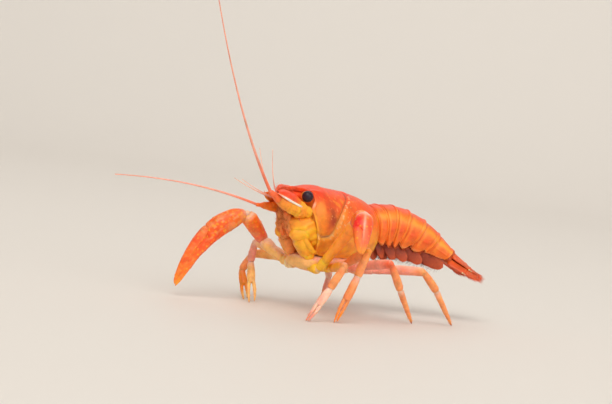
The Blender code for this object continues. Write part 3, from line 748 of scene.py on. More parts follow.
def build_eyes():
    for label, side in SIDES:
        centre = mirrored(EYE_CENTRE, side) - UP * 0.08
        gaze = unit(mirrored((0.42, 0.86, 0.22), side))
        polar = np.radians(steps(44, 2, 122))[::-1]
        radius = EYE_RADIUS * np.sin(polar)
        shape = Shape()
        shape.add(sweep(centre + gaze * (EYE_RADIUS * np.cos(polar)), radius, radius, UP, 64), NEAR_BLACK)
        shape.build(f"cornea_{label}", EYE, "eye", f"eye_{label}")

        root = mirrored((4.3, 0.5, 12.9), side)
        points = (root, centre - gaze * 1.15 - UP * 0.1, centre - gaze * 0.5, centre - gaze * 0.12)
        share = steps(46)
        radius = ramp((0, 0.35, 0.6, 0.8, 0.93, 1), (0.5, 0.52, 0.6, 0.69, 0.71, 0.675), share)
        stalk = sweep(through(points, 46), radius, radius * 0.97, UP, 48)
        stalk = raised(stalk, 0.02 * wobble(stalk, 0.5, 40 + side))
        shape = Shape()
        colours = (ORANGE, RED_ORANGE, ORANGE, ORANGE, LIGHT_ORANGE)
        shape.add(stalk, ramp((0, 0.5, 0.8, 0.9, 1), colours, share))
        shape.build(f"eye_cup_{label}", SOFT, "carapace_shell", f"eyestalk_{label}")


PEDUNCLES = {  # three points of each antenna's stiff base, then the bend and the tip of its whip
    1: ((4.5, 2.1, 11.9), (7.2, 1.75, 12.45), (9.75, 0.95, 13.75), (16.2, 1.3, 21.4), (23.4, 3.9, 34.6)),
    -1: ((4.5, -2.1, 11.9), (6.9, -2.2, 12.0), (8.5, -2.45, 12.05), (14.6, -6.6, 14.2), (20.0, -14.6, 13.5)),
}
PEDUNCLE_PIECES = (
    # start and end as shares of the path, radii, colours, wrinkle height
    (0.0, 0.36, 0.62, 0.86, YELLOW, AMBER, 0.05),
    (0.26, 0.56, 0.8, 0.76, YELLOW, AMBER, 0.04),
    (0.50, 0.78, 0.76, 0.63, AMBER, LIGHT_ORANGE, 0.03),
    (0.73, 0.985, 0.55, 0.36, ORANGE, CORAL, 0.02),
)


def whip(shape, path, thick, thin, rings, colours, spokes=12):
    """A tapering feeler divided into many short rings."""
    share = steps(len(path))
    ring = np.abs(np.sin(math.pi * share**0.85 * rings))
    radius = (thin + (thick - thin) * (1 - share) ** 1.6) * (0.9 + 0.14 * ring)
    tint = mix(ramp((0, 0.06, 0.3, 1), colours, share), (PALE_PINK, 0.35 * (1 - ring)))
    shape.add(sweep(path, radius, radius, LEFT, spokes), tint)


def build_antennae():
    for label, side in SIDES:
        *base, bend, tip = np.array(PEDUNCLES[side])
        path, knob = through(base, 101), base[-1]
        shape = Shape()
        for number, (start, end, near, far, first, last, wrinkle) in enumerate(PEDUNCLE_PIECES):
            bulk = 1.1
            if side == -1:  # the far one is slimmer, smoother and more orange
                bulk, wrinkle = 0.82 - 0.06 * number, wrinkle * 0.5
                first, last = mix(first, (ORANGE, 0.75)), mix(last, (ORANGE, 0.75))
            near, far = near * bulk, far * bulk
            profile = (
                *((0, near * 0.86, near * 0.8), (0.25, near, near)),
                *((0.75, far * 1.02, far), (1, far * 0.96, far * 0.94)),
            )
            ends = path[int(start * 100)], path[int(end * 100)]
            grid, share = segment(*ends, profile, UP, 48, 48, 0.3, 0.28)
            lines = np.sin(7 * grid[..., 0] - 5 * grid[..., 2] + 2.5 * wobble(grid, 0.7, number))
            grid = raised(grid, wrinkle * 0.6 * lines + wrinkle * wobble(grid, 0.45, 60 + number))
            blotches = 0.3 * held(wobble(grid, 0.9, 66 + number))
            tint = ramp((0, 1), (first, last), share)
            shape.add(grid, mix(tint, (BROWN, -0.16 * lines), (ORANGE, blotches)))
        spine = path[40] + (0.1, 0.62 * side, -0.25)
        spine = through((spine, spine + (0.35, 0.05 * side, 0.0), spine + (0.75, 0.0, 0.1)), 12)
        shape.add(sweep(spine, steps(12, 0.16, 0.015), steps(12, 0.16, 0.015), UP, 12), AMBER)
        shape.build(f"peduncle_{label}", SOFT, "mouthpart", f"antenna_base_{label}")

        shape = Shape()
        line = bezier((knob - unit(bend - knob) * 0.15, bend, tip), steps(620))
        whip(shape, line, 0.2 if side == 1 else 0.16, 0.06, 125, (CORAL, CORAL, PINK, PINK))
        shape.build(f"flagellum_{label}", FEELER, "feeler", f"antenna_whip_{label}")


# The three stiff pieces of each antennule, and the middle line of its two branches.
ANTENNULE_JOINTS = ((5.0, 0.5, 12.6), (6.2, 0.5, 12.75), (7.0, 0.48, 12.95), (7.65, 0.45, 13.15))
ANTENNULE_SIZES = (0.66, 0.5, 0.36)
ANTENNULE_BRANCHES = (
    ((7.5, 0.5, 13.15), (9.3, 0.5, 13.4), (10.4, 1.1, 18.6)),
    ((7.5, 0.38, 13.1), (10.2, 0.3, 13.3), (14.0, 0.7, 15.0)),
)


def build_antennules():
    for label, side in SIDES:
        shape = Shape()
        joints = mirrored(ANTENNULE_JOINTS, side)
        for size, a, b in zip(ANTENNULE_SIZES, joints, joints[1:]):
            profile = np.array(((0, 0.85, 0.8), (0.7, 1, 1), (1, 0.9, 0.9))) * (1, size, size)
            grid, share = segment(a, b, profile, UP, 26, 24, 0.05, 0.1)
            shape.add(grid, ramp((0, 0.8, 1), (ORANGE, LIGHT_ORANGE, CORAL), share))
        for controls in ANTENNULE_BRANCHES:
            line = bezier(mirrored(controls, side), steps(200))
            whip(shape, line, 0.13, 0.035, 42, (CORAL, CORAL, PINK, PALE_PINK), spokes=10)
        shape.build(f"antennule_pair_{label}", FEELER, "feeler", f"antennule_{label}")


SCALE_ROOT = (6.0, 2.72, 12.42)
SCALE_TIPS = {1: (9.5, 2.05, 13.78), -1: (8.7, 1.3, 13.45)}
# Width of the blade at these shares of its length.
SCALE_WIDTHS = ((0, 0.8), (0.12, 1.3), (0.4, 1.8), (0.65, 1.6), (0.85, 1.0), (0.95, 0.5), (1, 0.06))


def build_scales():
    for label, side in SIDES:
        root, tip = mirrored((SCALE_ROOT, SCALE_TIPS[side]), side)
        near = side == 1
        inward = unit(mirrored((-0.1, -0.72, 0.68), side))
        axis = unit(tip - root)
        normal = unit(np.cross(inward, axis)) * side
        share = steps(70)
        width = ramp(*zip(*SCALE_WIDTHS), share) * (1 if near else 0.75)
        arc = np.sin(math.pi * share)
        margin = root + (tip - root) * share - inward * 0.12 * arc
        blade = sweep(margin + inward * (width / 2), width / 2, 0.085, normal, 48)
        across = ((blade - margin[:, None]) * inward).sum(-1) / width
        blade = blade + normal * (0.14 * np.sin(math.pi * held(across)) * arc)[..., None]
        blade = raised(blade, 0.02 * np.sin(9 * across + 3 * share))
        tint = mix(
            ramp((0, 0.1, 0.3, 0.75, 1), (PALE_PINK, CORAL, RED, RED, RED_ORANGE), across),
            (LIGHT_ORANGE, 0.85 * step_up(-share, -0.38, 0)),
            # painted light: the far blade, which lies in shade, is turned lighter orange
            (LIGHT_ORANGE, 0.0 if near else 0.6),
        )
        shape = Shape()
        shape.add(blade, tint)
        thick = ramp((0, 0.15, 0.5, 0.9, 1), (0.06, 0.13, 0.14, 0.07, 0.02), share)
        rim = root + (tip - root) * (share * 1.1) - inward * 0.12 * arc
        # the white stripe on the near rim is a painted highlight; the far rim is painted light orange against
        # its shade
        edge = (AMBER, PALE_PINK, WHITE, WHITE, PINK, CORAL) if near else (AMBER, *[LIGHT_ORANGE] * 5)
        edge = ramp((0, 0.12, 0.24, 0.6, 0.85, 1), edge, share)
        shape.add(sweep(rim, thick, thick * 0.85, normal, 20), edge)
        FACE_HAIR.along(blade, (0.3, 0.97), (0.44, 0.56), 110, 98, 0.55, 0.012, axis + inward, CORAL, 0.12)
        shape.build(f"scale_blade_{label}", SHELL, "scale_shell", f"antennal_scale_{label}")


MOUTH_STATIONS = (
    # forward, top, bottom, half width
    *((1.2, 10.9, 7.3, 2.1), (2.6, 11.5, 7.5, 2.5), (4.2, 11.75, 8.4, 2.7)),
    *((5.2, 11.6, 9.0, 2.35), (6.0, 11.4, 9.5, 1.8), (6.5, 11.2, 10.1, 1.1)),
)


def build_mouth():
    """The face between the cheeks: folds round the mouth, lips and the jaws' outer faces."""
    f = np.concatenate((steps(70, 1.2, 5.6), 5.6 + 0.9 * np.sin(steps(30, 0.05, 1.5))))
    top, bottom, half = sizes_at(MOUTH_STATIONS, f)
    turn = circle(132, -math.pi)
    left = half * power(np.sin(turn), 0.75)
    level = (top + bottom) / 2 + (top - bottom) / 2 * power(np.cos(turn), 0.75)
    grid = np.stack((np.broadcast_to(f, left.shape), left, level), axis=-1)
    folds = np.sin(6.5 * grid[..., 2] + 3.2 * grid[..., 0] + 1.6 * wobble(grid, 1.1, 71))
    grid = raised(grid, 0.045 * folds + 0.06 * wobble(grid, 0.9, 72))
    side = step_up(np.abs(grid[..., 1]), 0.7, 1.8)
    lips = 0.6 * step_up(grid[..., 2], 9.8, 10.8)
    shape = Shape()
    tint = mix(ORANGE, (YELLOW, side), (BROWN, 0.6 * (1 - side)), (ORANGE, -0.3 * folds))
    shape.add(grid, mix(tint, (LIGHT_ORANGE, lips)))
    for flip in (1, -1):
        ends = mirrored(((4.3, 2.0, 9.5), (6.0, 1.0, 9.2)), flip)
        jaw, share = segment(*ends, ((0, 0.7, 0.8), (0.5, 0.75, 0.8), (1, 0.5, 0.55)), UP, 36, 40)
        shape.add(raised(jaw, 0.035 * wobble(jaw, 0.5, 75)), ramp((0, 1), (YELLOW, AMBER), share))
        for offset in (0.0, 0.4):
            points = ((5.6, 0.95, 9.0), (6.1, 0.9, 10.1), (6.4, 0.8, 11.2), (6.3, 0.6, 12.0))
            path = through(mirrored(points - LEFT * offset, flip), 40)
            share = steps(40)
            radius = ramp((0, 0.2, 0.7, 1), (0.34, 0.4, 0.3, 0.08), share) * (1 + 0.06 * np.cos(share * 40))
            palp = sweep(path, radius, radius * 0.8, LEFT, 20)
            shape.add(palp, ramp((0, 0.5, 1), (ORANGE, RUST, RUST), share))
            FACE_HAIR.along(palp, (0.2, 0.98), (0, 1), 90, 77, 0.4, 0.012, (0.6, 0.2 * flip, 0.1), RUST, 0.3)
    shape.build("mouth_folds", SOFT, "mouthpart", "mouth")


JAW_LEG_JOINTS = (
    *((2.9, 1.5, 6.7), (3.5, 1.4, 7.1), (4.9, 1.1, 8.7)),
    *((5.7, 0.75, 9.8), (6.35, 0.52, 10.75), (6.85, 0.42, 11.7)),
)
JAW_LEG_PIECES = (
    # half width and depth, taper, bristles, and colours at the start, middle and end
    (0.66, 0.6, 0.9, 0, (YELLOW, YELLOW, YELLOW)),
    (0.74, 0.92, 0.9, 200, (YELLOW, YELLOW, YELLOW)),
    (0.64, 0.7, 0.9, 520, (YELLOW, YELLOW, AMBER)),
    (0.46, 0.52, 0.9, 620, (AMBER, RUST, RUST)),
    (0.34, 0.38, 0.45, 420, (RUST, RUST, ORANGE)),
)
# The outer branch of each jaw leg, and the lash at its end.
JAW_LEG_BRANCH = ((3.2, 2.05, 7.4), (4.1, 2.1, 8.1), (4.8, 2.02, 9.1), (5.3, 1.95, 10.0))
JAW_LEG_LASH = ((5.3, 2.05, 9.9), (5.6, 2.0, 10.7), (6.1, 1.8, 11.5))


def build_jaw_legs():
    """The third maxillipeds, with the bristly inner side that closes the mouth."""
    for label, side in SIDES:
        joints = mirrored(JAW_LEG_JOINTS, side)
        shape = Shape()
        for number, (wide, deep, taper, bristles, colours) in enumerate(JAW_LEG_PIECES):
            profile = np.array(((0, 0.86, 0.86), (0.3, 1, 1), (0.75, 0.98, 1), (1, taper, taper)))
            ends, profile = joints[number : number + 2], profile * (1, wide, deep)
            grid, share = segment(*ends, profile, LEFT, 56, 52, 0.34, 0.3, 0.06)
            lumps = wobble(grid, 0.8, 80 + number)
            grid = raised(grid, 0.035 * lumps + 0.01 * wobble(grid, 0.3, 90 + number))
            forward, left, _ = np.moveaxis(normals(grid), -1, 0)
            inner = step_up(-left * side, -0.35, 0.35)
            tint = mix(
                ramp((0, 0.5, 1), colours, share),
                (ORANGE, 0.4 * held(-lumps)),
                (RUST, 0.8 * inner if side == 1 else 0.7 + 0.2 * inner),
                (RUST, 0.5 * (number > 1) * step_up(forward, 0.35, 0.8)),
            )
            shape.add(grid, tint)
            if bristles:
                columns = (0.0, 1.0) if number > 2 else (0.25, 0.75) if side == 1 else (0.75, 1.25)
                lean = (0.3, -0.6 * side, 0.9)
                FACE_HAIR.along(grid, (0.1, 0.95), columns, bristles, 95 + number, 0.5, 0.01, lean, RUST, 0.3)
        share = steps(50)
        radius = ramp((0, 0.3, 1), (0.3, 0.36, 0.14), share)
        path = through(mirrored(JAW_LEG_BRANCH, side), 50)
        shape.add(sweep(path, radius, radius * 1.3, LEFT, 24), ramp((0, 1), (YELLOW, AMBER), share))
        path = through(mirrored(JAW_LEG_LASH, side), 90)
        whip(shape, path, 0.14, 0.04, 16, (LIGHT_ORANGE, ORANGE, ORANGE, BROWN), spokes=10)
        shape.build(f"jaw_leg_{label}", SOFT, "mouthpart", f"maxilliped_{label}")


# --- Claws ---

HIPS = {  # where each pair of legs leaves the body, on the left side
    1: (2.55, 2.75, 5.5),
    2: (1.0, 3.0, 5.7),
    3: (-0.55, 3.05, 5.75),
    4: (-2.05, 3.05, 5.7),
    5: (-3.6, 2.95, 5.6),
}
CLAWS = {  # knee, wrist, bulge of the hand and its tip, half width of the palm
    "right": ((3.4, -6.1, 7.4), (6.0, -6.8, 10.5), (10.0, -9.7, 9.1), (12.5, -10.8, 1.2), 1.2),
    "left": ((1.75, 6.75, 11.2), (2.15, 8.6, 12.5), (3.75, 9.8, 11.3), (4.1, 10.6, 8.3), 1.1),
}
CLAW_ACROSS = np.array((0.69, 0.72, 0.0))  # the broad side of each claw and pincer faces this way
# Share, outer edge, inner edge and depth of the palm and its fixed finger, in palm half widths.
HAND_EDGES = (
    *((0, 0.42, -0.42, 0.42), (0.05, 0.66, -0.62, 0.58), (0.16, 0.94, -0.92, 0.76)),
    *((0.32, 1.04, -1.02, 0.8), (0.43, 1.02, -0.98, 0.7), (0.475, 1.0, -0.55, 0.62)),
    *((0.52, 0.97, -0.08, 0.56), (0.65, 0.84, -0.08, 0.48), (0.8, 0.68, -0.06, 0.38)),
    *((0.93, 0.44, -0.03, 0.26), (1, 0.2, 0.0, 0.14)),
)
# The same of the finger that moves.
FINGER_EDGES = (
    *((0.435, -0.16, -0.9, 0.5), (0.5, 0.06, -0.95, 0.54), (0.62, 0.11, -0.86, 0.48)),
    *((0.78, 0.11, -0.68, 0.38), (0.92, 0.08, -0.42, 0.26), (0.985, 0.05, -0.2, 0.13)),
)
HAND_PIECES = (
    # piece, CAD node, edges, rows, spokes, granules, seed, way that its biting edge faces
    ("propodus", "hand", HAND_EDGES, 230, 84, 130, 120, -1),
    ("dactylus", "finger", FINGER_EDGES, 130, 60, 46, 130, 1),
)


def build_arm(label, big, hip, knee):
    shape = Shape()
    profile = ((0, 0.5, 0.5), (0.6, 0.58, 0.56), (1, 0.56, 0.54))
    grid, share = segment(hip, hip + (knee - hip) * 0.2, profile, CLAW_ACROSS, 30, 36, 0.1, 0.15)
    shape.add(raised(grid, 0.02 * wobble(grid, 0.6, 100)), SAND if big else YELLOW)
    profile = ((0, 0.42, 0.46), (0.12, 0.56, 0.6), (0.45, 0.62, 0.68), (0.85, 0.74, 0.84), (1, 0.7, 0.78))
    grid, share = segment(hip + (knee - hip) * 0.16, knee, profile, CLAW_ACROSS, 90, 56, 0.1, 0.28, 0.18)
    colours = (SAND, SAND, SAND, PALE_PINK) if big else (YELLOW, AMBER, LIGHT_ORANGE, LIGHT_ORANGE)
    # painted highlight: pale pink on the upward faces; painted shade: brown on the downward faces
    tint = mix(
        ramp((0, 0.25, 0.6, 1), colours, share),
        (PALE_PINK, (0.8 if big else 0.25) * facing(grid, 1)),
        (BROWN, 0.08 * facing(grid, -1, 0.1)),
    )
    grid = raised(grid, 0.03 * wobble(grid, 0.9, 101))
    shape.add(*speckled(grid, tint, 60, 102, 0.1, 0.05, (0.3, 1.0)))
    shape.add(ball(knee, (0.5, 0.55, 0.5)), PALE_PINK)
    shape.build(f"claw_merus_{label}", CLAW, "claw_shell", f"claw_{label}_arm")


def build_wrist(label, big, knee, wrist):
    profile = ((0, 0.5, 0.52), (0.16, 0.74, 0.78), (0.55, 0.92, 0.96), (0.86, 0.98, 0.98), (1, 0.86, 0.86))
    grid, share = segment(knee, wrist, profile, CLAW_ACROSS, 84, 72, 0.22, 0.12)
    grid = raised(grid, 0.04 * wobble(grid, 1.0, 110) - 0.09 * bell(share - 0.9, 0.035))
    tint = mix(
        ramp((0, 0.3, 0.8, 1), (PINK, CORAL, ORANGE, LIGHT_ORANGE), share),
        (PALE_PINK, 0.75 * bell(share - 0.97, 0.07)),
        (RED_ORANGE, 0.4 * held(wobble(grid, 1.2, 111))),
        (PEACH, 0.7 * step_up(wobble(grid, 0.7, 113), 0.25, 0.9) * step_up(share, 0.2, 0.5)),
    )
    shape = Shape()
    shape.add(*speckled(grid, tint, 90 if big else 50, 112, 0.13, 0.05))
    shape.add(ball(wrist, (0.42, 0.44, 0.46)), PALE_PINK)
    shape.build(f"claw_carpus_{label}", CLAW, "claw_shell", f"claw_{label}_wrist")


def hand_grid(curve, palm, edges, rows, spokes):
    """Rings of the hand or its finger, and their shares and turns."""
    share = steps(rows, edges[0][0], edges[-1][0])
    upper, lower, depth = (size * palm for size in sizes_at(edges, share))
    centre = bezier(curve, share)
    tangent = unit(np.gradient(centre, axis=0))
    thick = unit(np.cross(tangent, np.cross(CLAW_ACROSS, curve[2] - curve[0])))
    across = np.cross(thick, tangent)
    first, last = np.minimum((share - share[0]) / 0.035, 1), np.minimum((share[-1] - share) / 0.03, 1)
    round_off = np.sqrt(np.clip(1 - (1 - first) ** 2, 0.03, 1) * np.clip(1 - (1 - last) ** 2, 0.02, 1))
    centre = centre + across * ((upper + lower) / 2)
    turn = circle(spokes)
    aside, above = (upper - lower) / 2 * round_off * np.cos(turn), depth * round_off * np.sin(turn)
    return rings(centre, across, thick, aside, above), share, turn


def long_claw_tint(tint, grid, share, biting, seed, palm_side):
    """Peach and yellow blotches on the palm, and red along the fixed finger's biting edge."""
    on_palm = 1 - 0.75 * step_up(share, 0.4, 0.62)
    return mix(
        tint,
        (PEACH, 0.6 * on_palm * step_up(wobble(grid, 0.9, seed + 3), 0.1, 0.8)),
        (PEACH, 0.9 * on_palm * step_up(wobble(grid, 0.32, seed + 4), 0.15, 0.75)),
        (YELLOW, 0.5 * on_palm * step_up(wobble(grid, 0.3, seed + 7), 0.45, 0.9)),
        (RED, 0.45 * step_up(wobble(grid, 0.6, seed + 6), 0.3, 0.9)),
        (RED, 0.4 * palm_side * step_up(biting, -0.2, 0.9) * bell(share - 0.55, 0.3)),
    )


def folded_claw_tint(tint, share, outward):
    """A red patch towards the head, which is a painted shadow in the gap between arm and hand, and a pale
    ridge, which is a painted highlight.

    outward is how far points lie from the middle of the hand, in mm, back and away from the body.
    """
    return mix(
        tint,
        (ORANGE, 0.9 * step_up(-outward, -0.1, 0.3) * step_up(share, 0.42, 0.6)),
        (RED, 0.7 * step_up(outward, 0.25, 0.7) * bell(share - 0.5, 0.3)),
        # painted shadow: deep red in the gap between arm and hand
        (SPOT_RED, 1.3 * bell(outward + 0.62, 0.6) * bell(share - 0.36, 0.17)),
        (LIGHT_ORANGE, 0.8 * step_up(share, 0.78, 0.97)),
        # painted highlight along the pale ridge
        (PALE_PINK, 0.75 * bell(outward - 0.16, 0.13) * bell(share - 0.4, 0.28)),
        (PALE_PINK, 0.6 * bell(share - 0.1, 0.06)),
    )


def build_hand(label, big, curve, palm):
    """The hand with its fixed finger, and the finger that moves against it."""
    colours = (CORAL, ORANGE, RED_ORANGE, ORANGE, AMBER) if big else (PINK, CORAL, CORAL, CORAL, ORANGE)
    for piece, cad_node, edges, rows, spokes, granules, seed, way in HAND_PIECES:
        grid, share, turn = hand_grid(curve, palm, edges, rows, spokes)
        biting = way * np.cos(turn)
        gape = held(biting) ** 6 * step_up(share, 0.5, 0.56)
        teeth = held(np.sin(share * 150 + seed) + 0.3 * np.sin(share * 61)) * gape
        ridge = bell(np.sin(turn) - 0.72, 0.16) * step_up(share, 0.52, 0.6) * (1 - step_up(share, 0.93, 1.0))
        grid = raised(grid, palm * (0.055 * teeth + 0.05 * ridge) + 0.03 * wobble(grid, 1.1, seed))
        tint = mix(
            ramp((0, 0.1, 0.45, 0.86, 1), colours, share),
            (ORANGE, 0.5 * held(wobble(grid, 1.3, seed + 2))),
            (LIGHT_ORANGE if big else SPOT_RED, 0.45 * bell(biting - 1, 0.5) * (share > 0.5)),
            (PALE_PINK, 0.55 * bell(share - 0.02, 0.03)),
        )
        if big:
            tint = long_claw_tint(tint, grid, share, biting, seed, piece == "propodus")
        else:
            tint = folded_claw_tint(tint, share, (grid - bezier(curve, 0.4)) @ (-0.72, 0.69, 0.0))
            granules //= 4
        grid, tint = speckled(grid, tint, granules, seed + 5, 0.12, 0.045, (0.02, 0.9))
        shape = Shape()
        shape.add(grid, mix(tint, (PALE, 0.5 * teeth), (BROWN, 0.55 * step_up(share, 0.975, 1.0))))
        shape.build(f"claw_{piece}_{label}", CLAW, "claw_shell", f"claw_{label}_{cad_node}")


def build_claw(label, side):
    *points, palm = CLAWS[label]
    knee, *curve = np.array(points)
    big = label == "right"
    build_arm(label, big, mirrored(HIPS[1], side), knee)
    build_wrist(label, big, knee, curve[0])
    build_hand(label, big, curve, palm)


# --- Walking legs ---

LEGS = {  # pair and side: knee, ankle and foot, then how far its pincer is open, if it has one
    (2, "left"): ((3.4, 7.7, 6.5), (4.5, 6.9, 3.9), (6.6, 5.95, 0), 0.06),
    (3, "left"): ((0.6, 8.4, 8.4), (1.5, 8.05, 5.5), (3.3, 7.1, 0), 0.06),
    (4, "left"): ((-2.4, 9.3, 7.2), (-4.9, 8.9, 4.2), (-8.7, 8.0, 0), None),
    (5, "left"): ((-8.1, 9.3, 6.4), (-10.6, 9.5, 4.2), (-14.1, 9.6, 0), None),
    (2, "right"): ((2.5, -8.7, 7.0), (2.8, -8.7, 4.6), (4.1, -6.2, 0), 0.5),
    (3, "right"): ((1.2, -10.2, 5.45), (2.4, -10.6, 3.3), (2.9, -8.7, 0), 0.3),
    (4, "right"): ((-8.2, -7.1, 5.9), (-9.8, -7.7, 3.1), (-9.8, -8.6, 0), None),
    (5, "right"): ((-10.3, -3.7, 6.1), (-12.9, -5.7, 3.7), (-12.8, -7.3, 0), None),
}
LEG_COLOURS = {  # ischium, merus, knee, carpus, ankle ring, propodus, tip
    (2, "left"): (YELLOW, AMBER, PEACH, PEACH, PALE_PINK, PALE_PINK, PINK),
    (3, "left"): (AMBER, PEACH, LIGHT_ORANGE, PEACH, PALE_PINK, PEACH, LIGHT_ORANGE),
    (4, "left"): (PINK, PINK, CORAL, PEACH, PALE_PINK, PEACH, PEACH),
    (5, "left"): (PINK, PINK, PEACH, PEACH, PALE_PINK, PEACH, PEACH),
    (2, "right"): (SAND, SAND, PALE_PINK, PINK, PALE_PINK, SAND, SAND),
    (3, "right"): (SAND, SAND, PEACH, PEACH, PEACH, LIGHT_ORANGE, SAND),
    (4, "right"): (PINK, PINK, CORAL, PALE_PINK, PALE_PINK, PINK, PEACH),
    (5, "right"): (PINK, PINK, PEACH, PEACH, PALE_PINK, PEACH, PEACH),
}


def leg_piece(shape, start, end, profile, reference, colours, seed, *form, top=None):
    """One shelly piece of a leg. form is its rows and how far it goes back, ahead and up. top is a colour
    painted on its upward faces as a highlight.
    """
    rows, *reach = form
    grid, share = segment(start, end, profile, reference, rows, 32, *reach)
    lumps = wobble(grid, 0.7, seed)
    tint = ramp(np.linspace(0, 1, len(colours)), colours, share)
    # painted highlight: the top colour on the upward faces
    if top is not None:
        tint = mix(tint, (top, 0.6 * facing(grid, 1, 0.3, 1.0)))
    grid = raised(grid, 0.015 * lumps + 0.008 * wobble(grid, 0.25, seed + 1))
    shape.add(grid, mix(tint, (CORAL, 0.3 * held(lumps))))
    lean = unit(end - start) * 1.1
    LEG_HAIR.along(grid, (0.15, 0.95), (0, 1), 26, seed + 9, 0.26, 0.011, lean, LIGHT_ORANGE, 0.2)


def add_claw_tip(shape, joint, tip, broadside, axis, colour, seed):
    """The single curved claw in which the fourth and fifth legs end."""
    share = steps(36)
    path = joint + (tip - joint) * share + np.sin(math.pi * share) * np.cross(broadside, axis) * 0.07
    radius = ramp((0, 0.08, 0.5, 0.9, 1), (0.16, 0.24, 0.17, 0.07, 0.015), share)
    claw = sweep(path, radius, radius * 1.1, broadside, 24)
    shape.add(claw, ramp((0, 0.7, 0.86, 1), (colour, colour, BROWN, DARK_BROWN), share))
    LEG_HAIR.along(claw, (0.2, 0.85), (0, 1), 46, seed, 0.34, 0.012, axis * 1.3, AMBER, 0.15)


def add_pincer(shape, start, tip, broadside, axis, length, opened, colours, seed):
    """The two fingers in which the second and third legs end."""
    share = steps(44)
    for flip in (1, -1):
        root = start - axis * 0.25 + broadside * 0.24 * flip
        end = tip - axis * (0.0 if flip == 1 else length * 0.03) + broadside * (0.07 + opened / 2) * flip
        swell = np.sin(math.pi * share) * broadside * flip * (0.03 + 0.12 * opened)
        path = root + (end - root) * share + swell
        path[:, 2] = np.maximum(path[:, 2], 0.03)
        radius = ramp((0, 0.15, 0.5, 0.9, 1), (0.14, 0.22, 0.18, 0.09, 0.02), share)
        finger = sweep(path, radius * 1.2, radius, broadside, 24)
        shape.add(finger, ramp((0, 0.35, 0.75, 0.92, 1), colours, share))
        LEG_HAIR.along(finger, (0.35, 0.95), (0, 1), 34, seed + flip, 0.3, 0.011, axis * 1.2, AMBER, 0.2)


def build_leg(pair, label, side):
    *joints, opened = LEGS[pair, label]
    knee, ankle, foot = np.array(joints)
    hip = mirrored(HIPS[pair], side)
    ischium, merus, knee_colour, carpus, ring, propodus, tip_colour = LEG_COLOURS[pair, label]
    seed = pair * 40 + (20 if side == 1 else 0)
    shape = Shape()
    profile = ((0, 0.46, 0.46), (0.6, 0.5, 0.5), (1, 0.46, 0.5))
    colours = (ischium, ischium, merus)
    leg_piece(shape, hip, hip + (knee - hip) * 0.24, profile, UP, colours, seed, 26, 0.15, 0.12)
    profile = ((0, 0.36, 0.4), (0.2, 0.42, 0.52), (0.55, 0.44, 0.58), (0.85, 0.44, 0.54), (1, 0.44, 0.5))
    colours = (merus, merus, merus, knee_colour)
    # top is the colour of the painted highlight on the upper leg's upward faces
    start, top = hip + (knee - hip) * 0.2, LIGHT_ORANGE if pair == 3 else PALE_PINK
    leg_piece(shape, start, knee, profile, UP, colours, seed + 2, 54, 0.08, 0.2, 0.12, top=top)
    shape.add(ball(knee, (0.34, 0.36, 0.36), 18), knee_colour)
    profile = ((0, 0.3, 0.32), (0.2, 0.4, 0.42), (0.75, 0.46, 0.48), (1, 0.42, 0.43))
    colours = (knee_colour, carpus, carpus)
    leg_piece(shape, knee, ankle, profile, UP, colours, seed + 4, 44, 0.12, 0.1, 0.05)
    shape.add(ball(ankle, (0.33, 0.34, 0.3), 18, foot - ankle), ring)

    broadside, axis = unit(np.cross(foot - ankle, CLAW_ACROSS)), unit(foot - ankle)
    tip = foot + UP * 0.03
    if opened is None:
        joint = ankle + (tip - ankle) * 0.66
        profile = ((0, 0.3, 0.3), (0.12, 0.36, 0.37), (0.6, 0.32, 0.33), (1, 0.27, 0.28))
        colours = (ring, propodus, propodus, tip_colour)
        leg_piece(shape, ankle, joint, profile, broadside, colours, seed + 6, 48, 0.12, 0.06)
        add_claw_tip(shape, joint, tip, broadside, axis, tip_colour, seed + 8)
    else:
        joint = ankle + (tip - ankle) * 0.5
        profile = ((0, 0.3, 0.34), (0.15, 0.35, 0.42), (0.7, 0.36, 0.5), (1, 0.33, 0.46))
        colours = (ring, propodus, propodus)
        leg_piece(shape, ankle, joint, profile, broadside, colours, seed + 6, 44, 0.12, 0.12)
        colours = (propodus, propodus, tip_colour, tip_colour, BROWN)
        length = np.linalg.norm(foot - ankle)
        add_pincer(shape, joint, tip, broadside, axis, length, opened, colours, seed + 8)
    slot = "pale_leg_shell" if pair in (2, 4) else "orange_leg_shell"
    nodes = [f"leg_{pair}_{label}_{part}" for part in ("upper", "middle", "foot")]
    shape.build(f"walking_leg_{pair}_{label}", LIMB, slot, *nodes)


def build_limbs():
    for label, side in SIDES:
        build_claw(label, side)
        for pair in (2, 3, 4, 5):
            build_leg(pair, label, side)


STERNUM_STATIONS = (
    # forward, top, bottom, half width
    *((-6.2, 6.8, 5.9, 1.6), (-5.2, 6.9, 5.2, 2.4), (-2.0, 7.0, 4.95, 2.85)),
    *((1.5, 7.0, 4.95, 2.75), (3.3, 7.0, 5.3, 2.1), (3.9, 6.8, 5.9, 1.2)),
)


